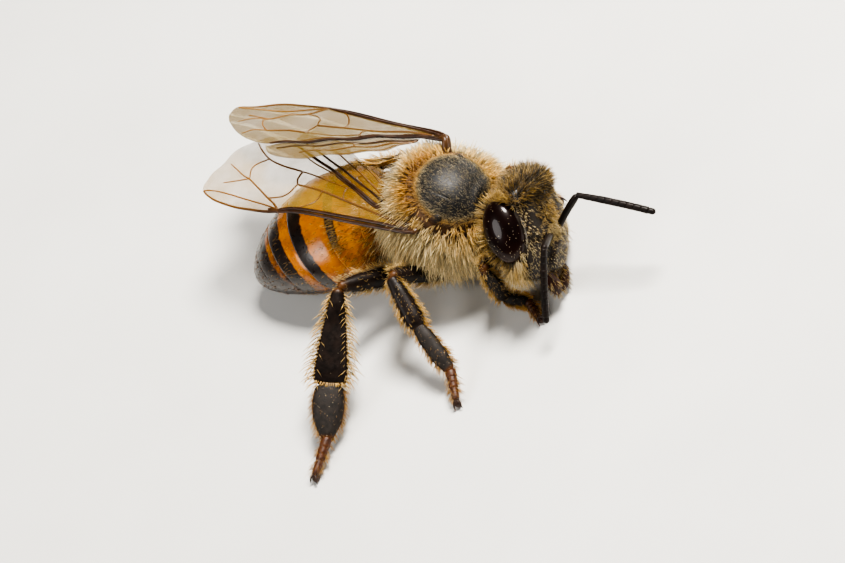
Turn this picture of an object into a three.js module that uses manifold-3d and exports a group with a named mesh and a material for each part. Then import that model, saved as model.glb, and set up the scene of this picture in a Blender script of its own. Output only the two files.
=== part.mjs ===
// A worker honey bee, life size, standing with its head rolled to its right and its wings laid back.
// Millimetres. +X is forward, +Y is the bee's left, +Z is up, and z = 0 is the floor under its feet.
// Each body part is one closed solid that reaches to the tips of the hair that grows on it.

import * as THREE from "three";
import { mergeVertices } from "three/addons/utils/BufferGeometryUtils.js";
import Module from "manifold-3d";

const wasm = await Module();
wasm.setup();

// ---------------------------------------------------------------- driving dimensions

const GAP = 0.03; // clear space between neighbouring solids

const THORAX = {
  centre: [0, 0, 2.5],
  half: [2.0, 2.12, 1.98], // along the body, across it, and up, to the tips of the hair
  rollToRight: 8, // degrees
  noseDown: 6,
};
const SCUTUM = {
  normal: [0.61, -0.03, 0.83], // the bald disc looks forward and up
  radius: 1.22,
  half: [1.66, 1.62, 1.6], // the hairless body under it
  floor: 1.05, // where the plate's underside lies, measured from the thorax's centre
};
const TEGULA = { out: 1.9, half: [0.4, 0.28, 0.3], right: [0.337, -0.718, 0.608], left: [0.3, 0.66, 0.69] };

const HEAD = {
  centre: [2.86, -0.27, 2.07],
  roll: 35, // degrees: the crown leans to the bee's left
  chinOut: 8, // and back, so that the chin is pushed forward
  turned: 7, // and the face looks a little to the left
  crown: 1.9, // from the centre to the tips of the crown's hair
  chin: 1.62, // from the centre to the end of the clypeus
  halfWidth: 1.72,
  face: 1.04, // from the centre forward
  nape: 0.66, // from the centre back
};
const EYE = { at: [-0.13, 1.34, 0.3], half: [0.68, 0.49, 1.11], lean: 10 };
const MANDIBLE = { root: [0.3, 0.44, -1.45], tip: [0.42, 0.2, -2.25], half: 0.27 };
const NECK = { from: [1.5, -0.02, 2.15], to: [2.7, -0.3, 2.1], radius: 0.42 };

const ANTENNA = {
  radius: 0.25,
  left: {
    root: [3.65, -0.08, 1.76],
    elbow: [4.52, 0.52, 2.73],
    tip: [6.95, 0.53, 2.08],
  },
  right: {
    root: [3.67, -0.49, 2.02],
    elbow: [4.28, -1.56, 2.87],
    tip: [4.02, -2.93, 0.93],
  },
};

const PETIOLE = { from: [-1.7, -0.04, 1.95], to: [-2.3, -0.07, 1.95], radius: 0.5 };
const ABDOMEN = {
  front: [-2.02, -0.05, 1.9],
  bend: [-4.4, -0.32, 1.7],
  tip: [-6.82, -2.25, 0.96],
  halfWidth: 2.12,
  halfHeight: 1.5,
  ends: [0, 0.15, 0.37, 0.63, 0.79, 0.91, 1], // where each segment ends along the axis
  lip: 0.05, // how far each hind edge stands out over the next segment
};

const WING = { thick: 0.5, top: 0.05 }; // and how far the slab stands over the film that it carries
const FORE = { length: 8.3, depth: 2.95 };
const WINGS = {
  right: { root: [-0.05, -1.5, 3.34], tip: [-8.2, -0.75, 3.3], tilt: 3, arch: 0.5 },
  left: { root: [-0.05, 1.5, 3.8], tip: [-8.1, 2.42, 3.5], tilt: 24, arch: 0.2 },
};

// Joints of each leg from the body out: coxa, trochanter, knee, ankle, end of the first tarsal joint, foot.
const FOOT_RISE = 0.2; // the height of the last tarsal joint's axis over the floor
const LEGS = {
  front_right: [[0.95, -0.45, 1.15], [1.35, -0.98, 0.95], [1.97, -1.98, 2.15], [2.0, -1.95, 0.62],
    [2.68, -1.86, 0.34], [3.2, -2.35, FOOT_RISE]],
  mid_right: [[0.05, -0.6, 1.05], [0.0, -1.35, 0.9], [-0.84, -2.75, 2.6], [0.16, -3.85, 1.55],
    [1.22, -4.72, 0.62], [1.61, -5.6, FOOT_RISE]],
  hind_right: [[-0.95, -0.6, 1.1], [-1.3, -1.4, 0.95], [-2.47, -3.31, 2.6], [-2.35, -5.97, 1.17],
    [-2.15, -7.44, 0.5], [-2.23, -8.72, FOOT_RISE]],
  front_left: [[0.95, 0.45, 1.15], [1.25, 0.95, 0.95], [1.3, 1.8, 2.1], [2.3, 1.55, 0.75],
    [2.75, 0.75, 0.38], [2.95, 0.05, FOOT_RISE]],
  mid_left: [[0.05, 0.6, 1.05], [0.0, 1.3, 0.9], [-1.35, 2.05, 2.0], [0.0, 2.5, 0.72],
    [1.3, 2.3, 0.42], [2.2, 1.95, FOOT_RISE]],
  hind_left: [[-0.95, 0.6, 1.1], [-1.3, 1.35, 0.95], [-2.95, 2.35, 1.5], [-5.15, 2.25, 0.8],
    [-6.5, 1.55, 0.46], [-7.2, 0.65, FOOT_RISE]],
};
// Half widths at the start, the middle and the end of each joint, and how thick it is for its width.
const JOINTS = {
  front: { femur: [0.3, 0.36, 0.27, 0.8], tibia: [0.26, 0.33, 0.28, 0.85], basitarsus: [0.26, 0.3, 0.25, 0.9] },
  mid: { femur: [0.3, 0.38, 0.28, 0.8], tibia: [0.28, 0.42, 0.36, 0.75], basitarsus: [0.3, 0.4, 0.28, 0.75] },
  hind: { femur: [0.3, 0.42, 0.32, 0.7], tibia: [0.3, 0.56, 0.68, 0.45], basitarsus: [0.52, 0.66, 0.42, 0.45] },
};
const TARSUS = [0.25, 0.26, 0.3, 1];
const OUTWARD = [0.55, -0.45, 0.7]; // where a right leg's flat outer face looks; the left is its mirror

// ---------------------------------------------------------------- finishes

function finish(colour, roughness) {
  return new THREE.MeshStandardMaterial({ color: colour, roughness, metalness: 0 });
}

const COAT = finish(0xc9a468, 0.95);
const FACE = finish(0x6b5a33, 0.9);
const SHELL = finish(0x17120f, 0.45);
const PLATE = finish(0x1c1a1a, 0.6);
const EYE_SHELL = finish(0x140808, 0.12);
const AMBER = finish(0xc26d12, 0.35);
const DARK_BAND = finish(0x2b1a0e, 0.4);
const JAW = finish(0x5a2210, 0.35);
const FOOT = finish(0x6e3413, 0.5);
const MEMBRANE = finish(0xb98a4a, 0.3);

// ---------------------------------------------------------------- geometry helpers

const vec = (p) => new THREE.Vector3(...p);
const rad = THREE.MathUtils.degToRad;
const mirror = (p) => [p[0], -p[1], p[2]];

/** A closed body through rings of points, each with the same count, with a fan at each end. */
function loft(rings) {
  const n = rings[0].length;
  const points = rings.flat();
  const index = [];
  for (let i = 0; i + 1 < rings.length; i += 1) {
    for (let j = 0; j < n; j += 1) {
      const a = i * n + j;
      const b = i * n + ((j + 1) % n);
      index.push(a, b, b + n, a, b + n, a + n);
    }
  }
  for (const [ring, first] of [[rings[0], 0], [rings[rings.length - 1], (rings.length - 1) * n]]) {
    const middle = points.length;
    points.push(ring.reduce((sum, p) => sum.add(p), new THREE.Vector3()).divideScalar(n));
    for (let j = 0; j < n; j += 1) {
      const a = first + j;
      const b = first + ((j + 1) % n);
      index.push(...(first === 0 ? [b, a, middle] : [a, b, middle]));
    }
  }
  const geometry = new THREE.BufferGeometry().setFromPoints(points);
  geometry.setIndex(index);
  return geometry;
}

/** A ring of an ellipse about centre, in the plane of across and up. */
function ring(centre, across, up, halfAcross, halfUp, sides) {
  return Array.from({ length: sides }, (_, j) => {
    const a = (2 * Math.PI * (j + 0.5)) / sides;
    return centre.clone()
      .addScaledVector(across, halfAcross * Math.cos(a))
      .addScaledVector(up, halfUp * Math.sin(a));
  });
}

function ellipsoid(half, grow, wide = 20, high = 12) {
  const ball = new THREE.SphereGeometry(1, wide, high);
  return ball.scale(half[0] + grow, half[1] + grow, half[2] + grow);
}

/** The volume inside a geometry, turned the right way out, as a solid that can be cut. */
function solid(geometry) {
  const bare = geometry.clone();
  bare.deleteAttribute("normal");
  bare.deleteAttribute("uv");
  const merged = mergeVertices(bare, 1e-5);
  const position = merged.attributes.position.array;
  const index = Array.from(merged.index.array);
  let volume = 0;
  const [a, b, c] = [new THREE.Vector3(), new THREE.Vector3(), new THREE.Vector3()];
  for (let i = 0; i < index.length; i += 3) {
    a.fromArray(position, index[i] * 3);
    b.fromArray(position, index[i + 1] * 3);
    c.fromArray(position, index[i + 2] * 3);
    volume += a.dot(b.cross(c));
  }
  if (volume < 0) {
    for (let i = 0; i < index.length; i += 3) {
      [index[i], index[i + 1]] = [index[i + 1], index[i]];
    }
  }
  return new wasm.Manifold(
    new wasm.Mesh({
      numProp: 3,
      vertProperties: Float32Array.from(position),
      triVerts: Uint32Array.from(index),
    }),
  );
}

/** The largest single piece of a solid, as a geometry. */
function geometryOf(body) {
  const pieces = body.decompose().sort((p, q) => q.volume() - p.volume());
  const mesh = pieces[0].getMesh();
  const geometry = new THREE.BufferGeometry();
  geometry.setAttribute("position", new THREE.BufferAttribute(Float32Array.from(mesh.vertProperties), 3));
  geometry.setIndex(Array.from(mesh.triVerts));
  geometry.computeVertexNormals();
  return geometry;
}

const FLOOR = solid(new THREE.BoxGeometry(60, 60, 4).translate(0, 0, -2));

// ---------------------------------------------------------------- the model's book-keeping

const bee = new THREE.Group();
const made = {}; // for each node, the same solid grown by GAP, which cuts its later neighbours

/** Adds a node. make(grow) returns its geometry, and cutBy names the neighbours that it gives way to. */
function node(name, material, make, cutBy = []) {
  let body = solid(make(0)).subtract(FLOOR);
  for (const other of cutBy) {
    body = body.subtract(made[other]);
  }
  made[name] = solid(make(GAP));
  const mesh = new THREE.Mesh(geometryOf(body), material);
  mesh.name = name;
  bee.add(mesh);
}

// ---------------------------------------------------------------- thorax

function thoraxFrame() {
  const turn = new THREE.Euler(rad(THORAX.rollToRight), rad(THORAX.noseDown), 0, "XYZ");
  return new THREE.Matrix4().makeRotationFromEuler(turn).setPosition(...THORAX.centre);
}

/** A body of revolution about the scutum's normal, as wide as radius(height) from the thorax's centre. */
function aboutScutum(profile, sides = 18) {
  const shape = new THREE.LatheGeometry(profile.map(([r, h]) => new THREE.Vector2(r, h)), sides);
  const normal = vec(SCUTUM.normal).normalize();
  const turn = new THREE.Quaternion().setFromUnitVectors(new THREE.Vector3(0, 1, 0), normal);
  return shape.applyQuaternion(turn).translate(...THORAX.centre);
}

function makeThorax() {
  const hairy = (grow) => ellipsoid(THORAX.half, grow, 18, 11).applyMatrix4(thoraxFrame());
  const { radius, floor } = SCUTUM;
  const pit = aboutScutum([[0, floor - GAP], [radius + GAP, floor - GAP], [radius + GAP, 1.45],
    [radius + 0.45, 2.6], [0, 2.6]]);
  const disc = aboutScutum([[0, floor], [radius, floor], [radius, 2.4], [0, 2.4]]);
  const bald = ellipsoid(SCUTUM.half, 0, 20, 12).applyMatrix4(thoraxFrame());
  for (const side of ["left", "right"]) {
    const centre = vec(THORAX.centre).addScaledVector(vec(TEGULA[side]), TEGULA.out);
    const turn = new THREE.Quaternion().setFromUnitVectors(new THREE.Vector3(0, 0, 1), vec(TEGULA[side]).normalize());
    const plate = (grow) => ellipsoid(TEGULA.half, grow, 10, 6).applyQuaternion(turn).translate(...centre);
    node(`tegula_${side}`, SHELL, plate);
  }
  made.thorax = solid(hairy(GAP));
  for (const [name, material, body] of [
    ["thorax", COAT, solid(hairy(0)).subtract(solid(pit)).subtract(made.tegula_left).subtract(made.tegula_right)],
    ["scutum", PLATE, solid(bald).intersect(solid(disc))],
  ]) {
    const mesh = new THREE.Mesh(geometryOf(body), material);
    mesh.name = name;
    bee.add(mesh);
  }
}

// ---------------------------------------------------------------- head

function headFrame() {
  const roll = rad(HEAD.roll);
  const chinOut = rad(HEAD.chinOut);
  const level = new THREE.Vector3(0, Math.sin(roll), Math.cos(roll));
  const ahead = new THREE.Vector3(Math.cos(chinOut), 0, 0).addScaledVector(level, Math.sin(chinOut));
  const crown = ahead.clone().cross(level.clone().cross(ahead).normalize());
  const forward = ahead.applyAxisAngle(crown, rad(HEAD.turned));
  const left = crown.clone().cross(forward);
  return new THREE.Matrix4().makeBasis(forward, left, crown).setPosition(...HEAD.centre);
}

/** Half the head's width at a height from 0, the clypeus, to 1, the crown. */
const headWidth = (t) => HEAD.halfWidth * Math.pow(Math.sin(Math.PI * (0.1 + 0.86 * Math.pow(t, 0.8))), 0.62);
const headFace = (t) => HEAD.face * Math.pow(Math.sin(Math.PI * (0.17 + 0.7 * t)), 0.5);
const headNape = (t) => HEAD.nape * Math.pow(Math.sin(Math.PI * (0.1 + 0.84 * t)), 0.6);

const HEAD_SIDES = 14;

function headGeometry(grow) {
  const rings = [];
  const steps = 8;
  for (let i = 0; i <= steps; i += 1) {
    const t = i / steps;
    const z = -HEAD.chin - grow + t * (HEAD.chin + HEAD.crown + 2 * grow);
    const points = [];
    for (let j = 0; j < HEAD_SIDES; j += 1) {
      const a = (2 * Math.PI * j) / HEAD_SIDES;
      const depth = Math.cos(a) > 0 ? headFace(t) : headNape(t);
      points.push(new THREE.Vector3((depth + grow) * Math.cos(a), (headWidth(t) + grow) * Math.sin(a), z));
    }
    rings.push(points);
  }
  return loft(rings).applyMatrix4(headFrame());
}

function eyeGeometry(side, grow) {
  const [x, y, z] = EYE.at;
  return ellipsoid(EYE.half, grow, 12, 10)
    .rotateX(side * rad(EYE.lean))
    .translate(x, side * y, z)
    .applyMatrix4(headFrame());
}

// ---------------------------------------------------------------- limbs and feelers

/** A spindle from one joint to the next, with rounded ends and a flattened section that faces a side. */
function spindle(from, to, [start, middle, end, flat], facing, grow, sides = 8) {
  const [a, b] = [vec(from), vec(to)];
  const axis = b.clone().sub(a);
  const length = axis.length();
  axis.normalize();
  const across = axis.clone().cross(vec(facing)).normalize();
  const up = across.clone().cross(axis);
  const reach = GAP / 2 - grow; // how far the end stays short of the joint
  const span = length - 2 * reach;
  const round = Math.min(0.45, Math.max(start, end) / span);
  const stops = [0.04, 0.4, 1.5].map((k) => Math.min(0.5, (k * round) / 1.6));
  const along = [...stops, 0.5, ...stops.toReversed().map((t) => 1 - t)];
  const places = along.filter((t, i) => i === 0 || t - along[i - 1] > 0.02);
  const rings = places.map((t) => {
    const width = (1 - t) ** 2 * start + 2 * t * (1 - t) * (2 * middle - (start + end) / 2) + t * t * end;
    const near = Math.min(1, Math.min(t, 1 - t) / round);
    const cap = Math.sqrt(1 - (1 - near) ** 2);
    const centre = a.clone().addScaledVector(axis, reach + t * span);
    return ring(centre, across, up, width * cap + grow, width * flat * cap + grow, sides);
  });
  return loft(rings);
}

function makeAntenna(side, name) {
  const { root, elbow, tip } = ANTENNA[side];
  const r = ANTENNA.radius;
  const facing = [0, 0.2, 1];
  node(`scape_${name}`, SHELL, (grow) => spindle(root, elbow, [r, r, r, 1], facing, grow, 8), ["head"]);
  node(`flagellum_${name}`, SHELL, (grow) => spindle(elbow, tip, [r, r, r, 1], facing, grow, 8),
    [`scape_${name}`, "head"]);
}

function makeMandible(side, name) {
  const out = (p) => vec([p[0], side * p[1], p[2]]).applyMatrix4(headFrame()).toArray();
  const { root, tip, half } = MANDIBLE;
  const facing = side > 0 ? [1, 0, 0] : [1, 0, 0.01];
  const cutBy = side > 0 ? ["head"] : ["head", "mandible_left"];
  node(`mandible_${name}`, JAW, (grow) => spindle(out(root), out(tip), [half, half, half * 0.7, 1], facing, grow, 8),
    cutBy);
}

function makeLeg(place) {
  const [pair, side] = place.split("_");
  const [coxa, trochanter, knee, ankle, heel, foot] = LEGS[place];
  const facing = side === "right" ? OUTWARD : mirror(OUTWARD);
  const sizes = JOINTS[pair];
  const earlier = pair === "front" ? [] : [`${pair === "mid" ? "front" : "mid"}_${side}_coxa`];
  const lengths = [
    ["coxa", SHELL, coxa, trochanter, [0.4, 0.42, 0.34, 0.9], ["thorax", ...earlier]],
    ["femur", SHELL, trochanter, knee, sizes.femur, ["thorax", `${place}_coxa`]],
    ["tibia", SHELL, knee, ankle, sizes.tibia, [`${place}_femur`, "head"]],
    ["basitarsus", SHELL, ankle, heel, sizes.basitarsus, [`${place}_tibia`, "head"]],
    ["tarsus", FOOT, heel, foot, TARSUS, [`${place}_basitarsus`, "head", "mandible_right", "mandible_left"]],
  ];
  for (const [joint, material, from, to, size, cutBy] of lengths) {
    node(`${place}_${joint}`, material, (grow) => spindle(from, to, size, facing, grow), cutBy);
  }
}

// ---------------------------------------------------------------- abdomen

const abdomenAxis = new THREE.QuadraticBezierCurve3(vec(ABDOMEN.front), vec(ABDOMEN.bend), vec(ABDOMEN.tip));
/** How full the abdomen is, from 0 to 1, along its axis. */
const fullness = (t) => Math.pow(Math.max(0, Math.sin(Math.PI * Math.pow(t, 0.84))), 0.55);

function segmentGeometry(number, grow) {
  const [from, to] = [ABDOMEN.ends[number - 1], ABDOMEN.ends[number]];
  const length = abdomenAxis.getLength();
  const inset = (GAP / 2 - grow) / length;
  const steps = number === 6 ? 4 : 3;
  const rings = [];
  for (let i = 0; i <= steps; i += 1) {
    const t = THREE.MathUtils.clamp(from + inset + ((to - from - 2 * inset) * i) / steps, 0.004, 0.996);
    const centre = abdomenAxis.getPoint(t);
    const axis = abdomenAxis.getTangent(t);
    const across = new THREE.Vector3(0, 0, 1).cross(axis).normalize();
    const up = axis.clone().cross(across);
    const out = grow + (ABDOMEN.lip * i) / steps;
    rings.push(ring(centre, across, up, ABDOMEN.halfWidth * fullness(t) + out,
      ABDOMEN.halfHeight * fullness(t) + out, 22));
  }
  return loft(rings);
}

// ---------------------------------------------------------------- wings

/** A wing's own frame: x from root to tip, y from the leading to the trailing edge, z up on both sides. */
function wingFrame(side) {
  const { root, tip, tilt } = WINGS[side];
  const along = vec(tip).sub(vec(root)).normalize();
  const inward = new THREE.Vector3(0, side === "right" ? 1 : -1, 0);
  inward.addScaledVector(along, -inward.dot(along)).normalize();
  const up = new THREE.Vector3().crossVectors(along, inward);
  if (up.z < 0) {
    up.negate();
  }
  const chord = inward.clone().multiplyScalar(Math.cos(rad(tilt))).addScaledVector(up, Math.sin(rad(tilt)));
  const normal = up.multiplyScalar(Math.cos(rad(tilt))).addScaledVector(inward, -Math.sin(rad(tilt)));
  return new THREE.Matrix4().makeBasis(along, chord, normal).setPosition(...root);
}

/** A plate of a wing's outline, arched between its root and its tip. */
function slab(shape, arch, grow) {
  const thick = WING.thick + 2 * grow;
  const body = new THREE.ExtrudeGeometry(shape, { depth: thick, bevelEnabled: false, curveSegments: 4 });
  body.translate(0, 0, WING.top + grow - thick);
  const position = body.attributes.position;
  for (let i = 0; i < position.count; i += 1) {
    const t = THREE.MathUtils.clamp(position.getX(i) / FORE.length, 0, 1);
    position.setZ(i, position.getZ(i) + 4 * arch * t * (1 - t));
  }
  return body;
}

/** The forewing's outline. The root-to-tip line is the x axis, and the leading edge bows out of it. */
function foreOutline(grow) {
  const { length: l, depth: d } = FORE;
  const shape = new THREE.Shape();
  shape.moveTo(-grow, -0.22 - grow);
  shape.bezierCurveTo(0.3 * l, -0.19 * d - grow, 0.78 * l, -0.31 * d - grow, 0.95 * l, -0.12 * d - grow);
  shape.bezierCurveTo(l + grow, -0.06 * d, l + grow, 0.08 * d, 0.985 * l + grow, 0.15 * d);
  shape.bezierCurveTo(0.95 * l + grow, 0.4 * d, 0.86 * l, 0.7 * d + grow, 0.73 * l, 0.76 * d + grow);
  shape.bezierCurveTo(0.6 * l, 0.8 * d + grow, 0.62 * l, 0.52 * d + grow, 0.4 * l, 0.36 * d + grow);
  shape.bezierCurveTo(0.25 * l, 0.27 * d + grow, 0.1 * l, 0.2 * d + grow, -grow, 0.26 + grow);
  return shape;
}

/** The hindwing shows behind the forewing's trailing edge. */
function hindOutline(grow) {
  const { length: l, depth: d } = FORE;
  const shape = new THREE.Shape();
  shape.moveTo(0.06 * l, 0.1 * d);
  shape.lineTo(0.4 * l, 0.2 * d);
  shape.lineTo(0.66 * l, 0.6 * d);
  shape.bezierCurveTo(0.67 * l + grow, 0.8 * d + grow, 0.58 * l, 0.92 * d + grow, 0.48 * l, 0.86 * d + grow);
  shape.bezierCurveTo(0.3 * l, 0.72 * d + grow, 0.16 * l, 0.56 * d + grow, 0.06 * l, 0.34 * d + grow);
  return shape;
}

function makeWings(side) {
  const others = side === "left" ? ["forewing_right", "hindwing_right"] : [];
  const body = ["thorax", `tegula_${side}`, ...ABDOMEN.ends.slice(1).map((_, i) => `abdomen_${i + 1}`), ...others];
  node(`forewing_${side}`, MEMBRANE, (grow) => slab(foreOutline(grow), WINGS[side].arch, grow).applyMatrix4(wingFrame(side)), body);
  node(`hindwing_${side}`, MEMBRANE, (grow) => slab(hindOutline(grow), WINGS[side].arch, grow).applyMatrix4(wingFrame(side)),
    [...body, `forewing_${side}`]);
}

// ---------------------------------------------------------------- assembly

makeThorax();
for (const [side, name] of [[1, "left"], [-1, "right"]]) {
  node(`eye_${name}`, EYE_SHELL, (grow) => eyeGeometry(side, grow));
}
node("head", FACE, headGeometry, ["thorax", "eye_left", "eye_right"]);
for (const side of ["left", "right"]) {
  makeAntenna(side, side);
}
makeMandible(1, "left");
makeMandible(-1, "right");
node("neck", COAT, (grow) => spindle(NECK.from, NECK.to, [NECK.radius, NECK.radius, NECK.radius, 1], [0, 0, 1], grow),
  ["thorax", "head"]);
node("petiole", SHELL,
  (grow) => spindle(PETIOLE.from, PETIOLE.to, [PETIOLE.radius, PETIOLE.radius, PETIOLE.radius, 1], [0, 0, 1], grow),
  ["thorax"]);
for (let number = 1; number < ABDOMEN.ends.length; number += 1) {
  node(`abdomen_${number}`, number < 5 ? AMBER : DARK_BAND, (grow) => segmentGeometry(number, grow),
    number === 1 ? ["thorax", "petiole"] : []);
}
for (const place of Object.keys(LEGS)) {
  makeLeg(place);
}
makeWings("right");
makeWings("left");

// The origin is on the floor, under the middle of the whole bee's box.
const extent = new THREE.Box3().setFromObject(bee);
bee.position.set(-(extent.min.x + extent.max.x) / 2, -(extent.min.y + extent.max.y) / 2, -extent.min.z);
bee.updateMatrixWorld(true);

export default bee;
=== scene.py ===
"""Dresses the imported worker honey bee: skins, plates, eyes, wings, legs and coats of hair.

Lengths here are millimetres in the bee's own frame (+X forward, +Y its left, +Z up, floor at 0).
place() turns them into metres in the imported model's frame.
"""

from math import cos, pi, radians, sin

import bmesh
import bpy
import numpy as np
from mathutils import Matrix, Vector


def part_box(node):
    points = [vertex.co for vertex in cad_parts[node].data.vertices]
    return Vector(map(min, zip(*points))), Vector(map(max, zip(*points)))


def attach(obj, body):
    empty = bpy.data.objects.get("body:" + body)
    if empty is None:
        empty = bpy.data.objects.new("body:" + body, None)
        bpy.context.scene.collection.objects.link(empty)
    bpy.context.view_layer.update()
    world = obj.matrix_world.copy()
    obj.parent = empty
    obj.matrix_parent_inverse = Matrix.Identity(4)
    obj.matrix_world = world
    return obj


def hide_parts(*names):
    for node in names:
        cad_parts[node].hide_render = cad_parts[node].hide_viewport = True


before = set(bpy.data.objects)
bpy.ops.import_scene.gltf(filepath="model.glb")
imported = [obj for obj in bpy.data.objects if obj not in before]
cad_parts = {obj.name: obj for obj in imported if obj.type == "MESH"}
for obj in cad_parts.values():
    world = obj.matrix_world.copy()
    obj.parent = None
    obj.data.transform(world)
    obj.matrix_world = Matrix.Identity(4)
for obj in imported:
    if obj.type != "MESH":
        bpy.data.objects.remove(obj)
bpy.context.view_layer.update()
MM = 0.001

# ---- the bee's measures, as its solids have them

THORAX = np.array([0.0, 0.0, 2.5])
THORAX_ROLL, THORAX_NOSE_DOWN = radians(8), radians(6)
THORAX_HALF = np.array([1.66, 1.62, 1.6])
SCUTUM_NORMAL = np.array([0.61, -0.03, 0.83])
TEGULA_WAY = {"right": (0.337, -0.718, 0.608), "left": (0.3, 0.66, 0.69)}

HEAD = np.array([2.86, -0.27, 2.07])
HEAD_ROLL, HEAD_CHIN_OUT, HEAD_TURNED = radians(35), radians(8), radians(7)
EYE_AT, EYE_LEAN, EYE_FORWARD = (-0.13, 1.34, 0.3), radians(10), radians(-12)
EYE_SHOWN_AT, EYE_SHOWN_HALF = (-0.15, 1.29, 0.27), (0.64, 0.44, 0.97)  # the bare eye, inside the solid one

ANTENNAE = {
    "left": ((3.65, -0.08, 1.76), (4.52, 0.52, 2.73), (6.95, 0.53, 2.08)),
    "right": ((3.67, -0.49, 2.02), (4.28, -1.56, 2.87), (4.02, -2.93, 0.93)),
}
ABDOMEN_AXIS = ((-2.02, -0.05, 1.9), (-4.4, -0.32, 1.7), (-6.82, -2.25, 0.96))
ABDOMEN_ENDS = (0.0, 0.15, 0.37, 0.63, 0.79, 0.91, 1.0)
ABDOMEN_HALF = (2.06, 1.45)

WING_LENGTH = 8.3
WINGS = {
    "right": dict(root=(-0.05, -1.5, 3.34), tip=(-8.2, -0.75, 3.3), tilt=3, arch=0.5),
    "left": dict(root=(-0.05, 1.5, 3.8), tip=(-8.1, 2.42, 3.5), tilt=24, arch=0.2),
}
# coxa, trochanter, knee, ankle, end of the first tarsal joint, foot
LEGS = {
    "front_right": ((0.95, -0.45, 1.15), (1.35, -0.98, 0.95), (1.97, -1.98, 2.15), (2.0, -1.95, 0.62),
                    (2.68, -1.86, 0.34), (3.2, -2.35, 0.2)),
    "mid_right": ((0.05, -0.6, 1.05), (0.0, -1.35, 0.9), (-0.84, -2.75, 2.6), (0.16, -3.85, 1.55),
                  (1.22, -4.72, 0.62), (1.61, -5.6, 0.2)),
    "hind_right": ((-0.95, -0.6, 1.1), (-1.3, -1.4, 0.95), (-2.47, -3.31, 2.6), (-2.35, -5.97, 1.17),
                   (-2.15, -7.44, 0.5), (-2.23, -8.72, 0.2)),
    "front_left": ((0.95, 0.45, 1.15), (1.25, 0.95, 0.95), (1.3, 1.8, 2.1), (2.3, 1.55, 0.75),
                   (2.75, 0.75, 0.38), (2.95, 0.05, 0.2)),
    "mid_left": ((0.05, 0.6, 1.05), (0.0, 1.3, 0.9), (-1.35, 2.05, 2.0), (0.0, 2.5, 0.72),
                 (1.3, 2.3, 0.42), (2.2, 1.95, 0.2)),
    "hind_left": ((-0.95, 0.6, 1.1), (-1.3, 1.35, 0.95), (-2.95, 2.35, 1.5), (-5.15, 2.25, 0.8),
                  (-6.5, 1.55, 0.46), (-7.2, 0.65, 0.2)),
}
OUTWARD = np.array([0.55, -0.45, 0.7])  # where a right leg's flat outer face looks

# ---- vectors


def unit(a):
    a = np.asarray(a, float)
    return a / np.maximum(np.linalg.norm(a, axis=-1, keepdims=True), 1e-12)


def clamp(x):
    return np.clip(x, 0, 1)


def smooth(x, low, high):
    """0 below low, 1 above high, and an easy rise between."""
    t = clamp((np.asarray(x, float) - low) / (high - low))
    return t * t * (3 - 2 * t)


def circle(count):
    """Angles evenly round a circle."""
    return np.linspace(0, 2 * pi, count, endpoint=False)


def bell(x, width):
    """1 at 0, and falling away on both sides."""
    return np.exp(-((np.asarray(x, float) / width) ** 2))


def turn(axis, by):
    """The matrix of a turn about X or Y."""
    c, s = cos(by), sin(by)
    return np.array(((1, 0, 0), (0, c, -s), (0, s, c)) if axis == "x" else ((c, 0, s), (0, 1, 0), (-s, 0, c)), float)


def head_axes():
    """The head's own forward, left and up in the bee's frame, as columns."""
    level = np.array([0, sin(HEAD_ROLL), cos(HEAD_ROLL)])
    ahead = np.array([cos(HEAD_CHIN_OUT), 0, 0]) + level * sin(HEAD_CHIN_OUT)
    aside = unit(np.cross(level, ahead))
    crown = np.cross(ahead, aside)
    forward = ahead * cos(HEAD_TURNED) + aside * sin(HEAD_TURNED)
    return np.stack([forward, np.cross(crown, forward), crown], axis=1)


HEAD_TURN = head_axes()
THORAX_TURN = turn("x", THORAX_ROLL) @ turn("y", THORAX_NOSE_DOWN)


def from_head(p):
    """Points of the head's own frame, in the bee's."""
    return np.asarray(p, float) @ HEAD_TURN.T + HEAD


def eye_turn(side):
    """An eye's turn in the head's frame: its foot leans out and forward."""
    return turn("x", side * EYE_LEAN) @ turn("y", EYE_FORWARD)


def eye_to_head(p, side):
    """Points of a shown eye's own frame, in the head's."""
    return p @ eye_turn(side).T + EYE_SHOWN_AT * np.array([1, side, 1])


def eye_point(side):
    """The middle of a solid eye."""
    return from_head((EYE_AT[0], side * EYE_AT[1], EYE_AT[2]))


def find_shift():
    """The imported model's origin is under the middle of its box: where the right eye went says how far that is."""
    low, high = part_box("eye_right")
    middle = np.array((low + high) / 2) / MM
    return middle - eye_point(-1)


SHIFT = find_shift()


def place(p):
    """Points of the bee's frame in metres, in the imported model's."""
    return (np.asarray(p, float) + SHIFT) * MM


# ---- meshes


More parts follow.
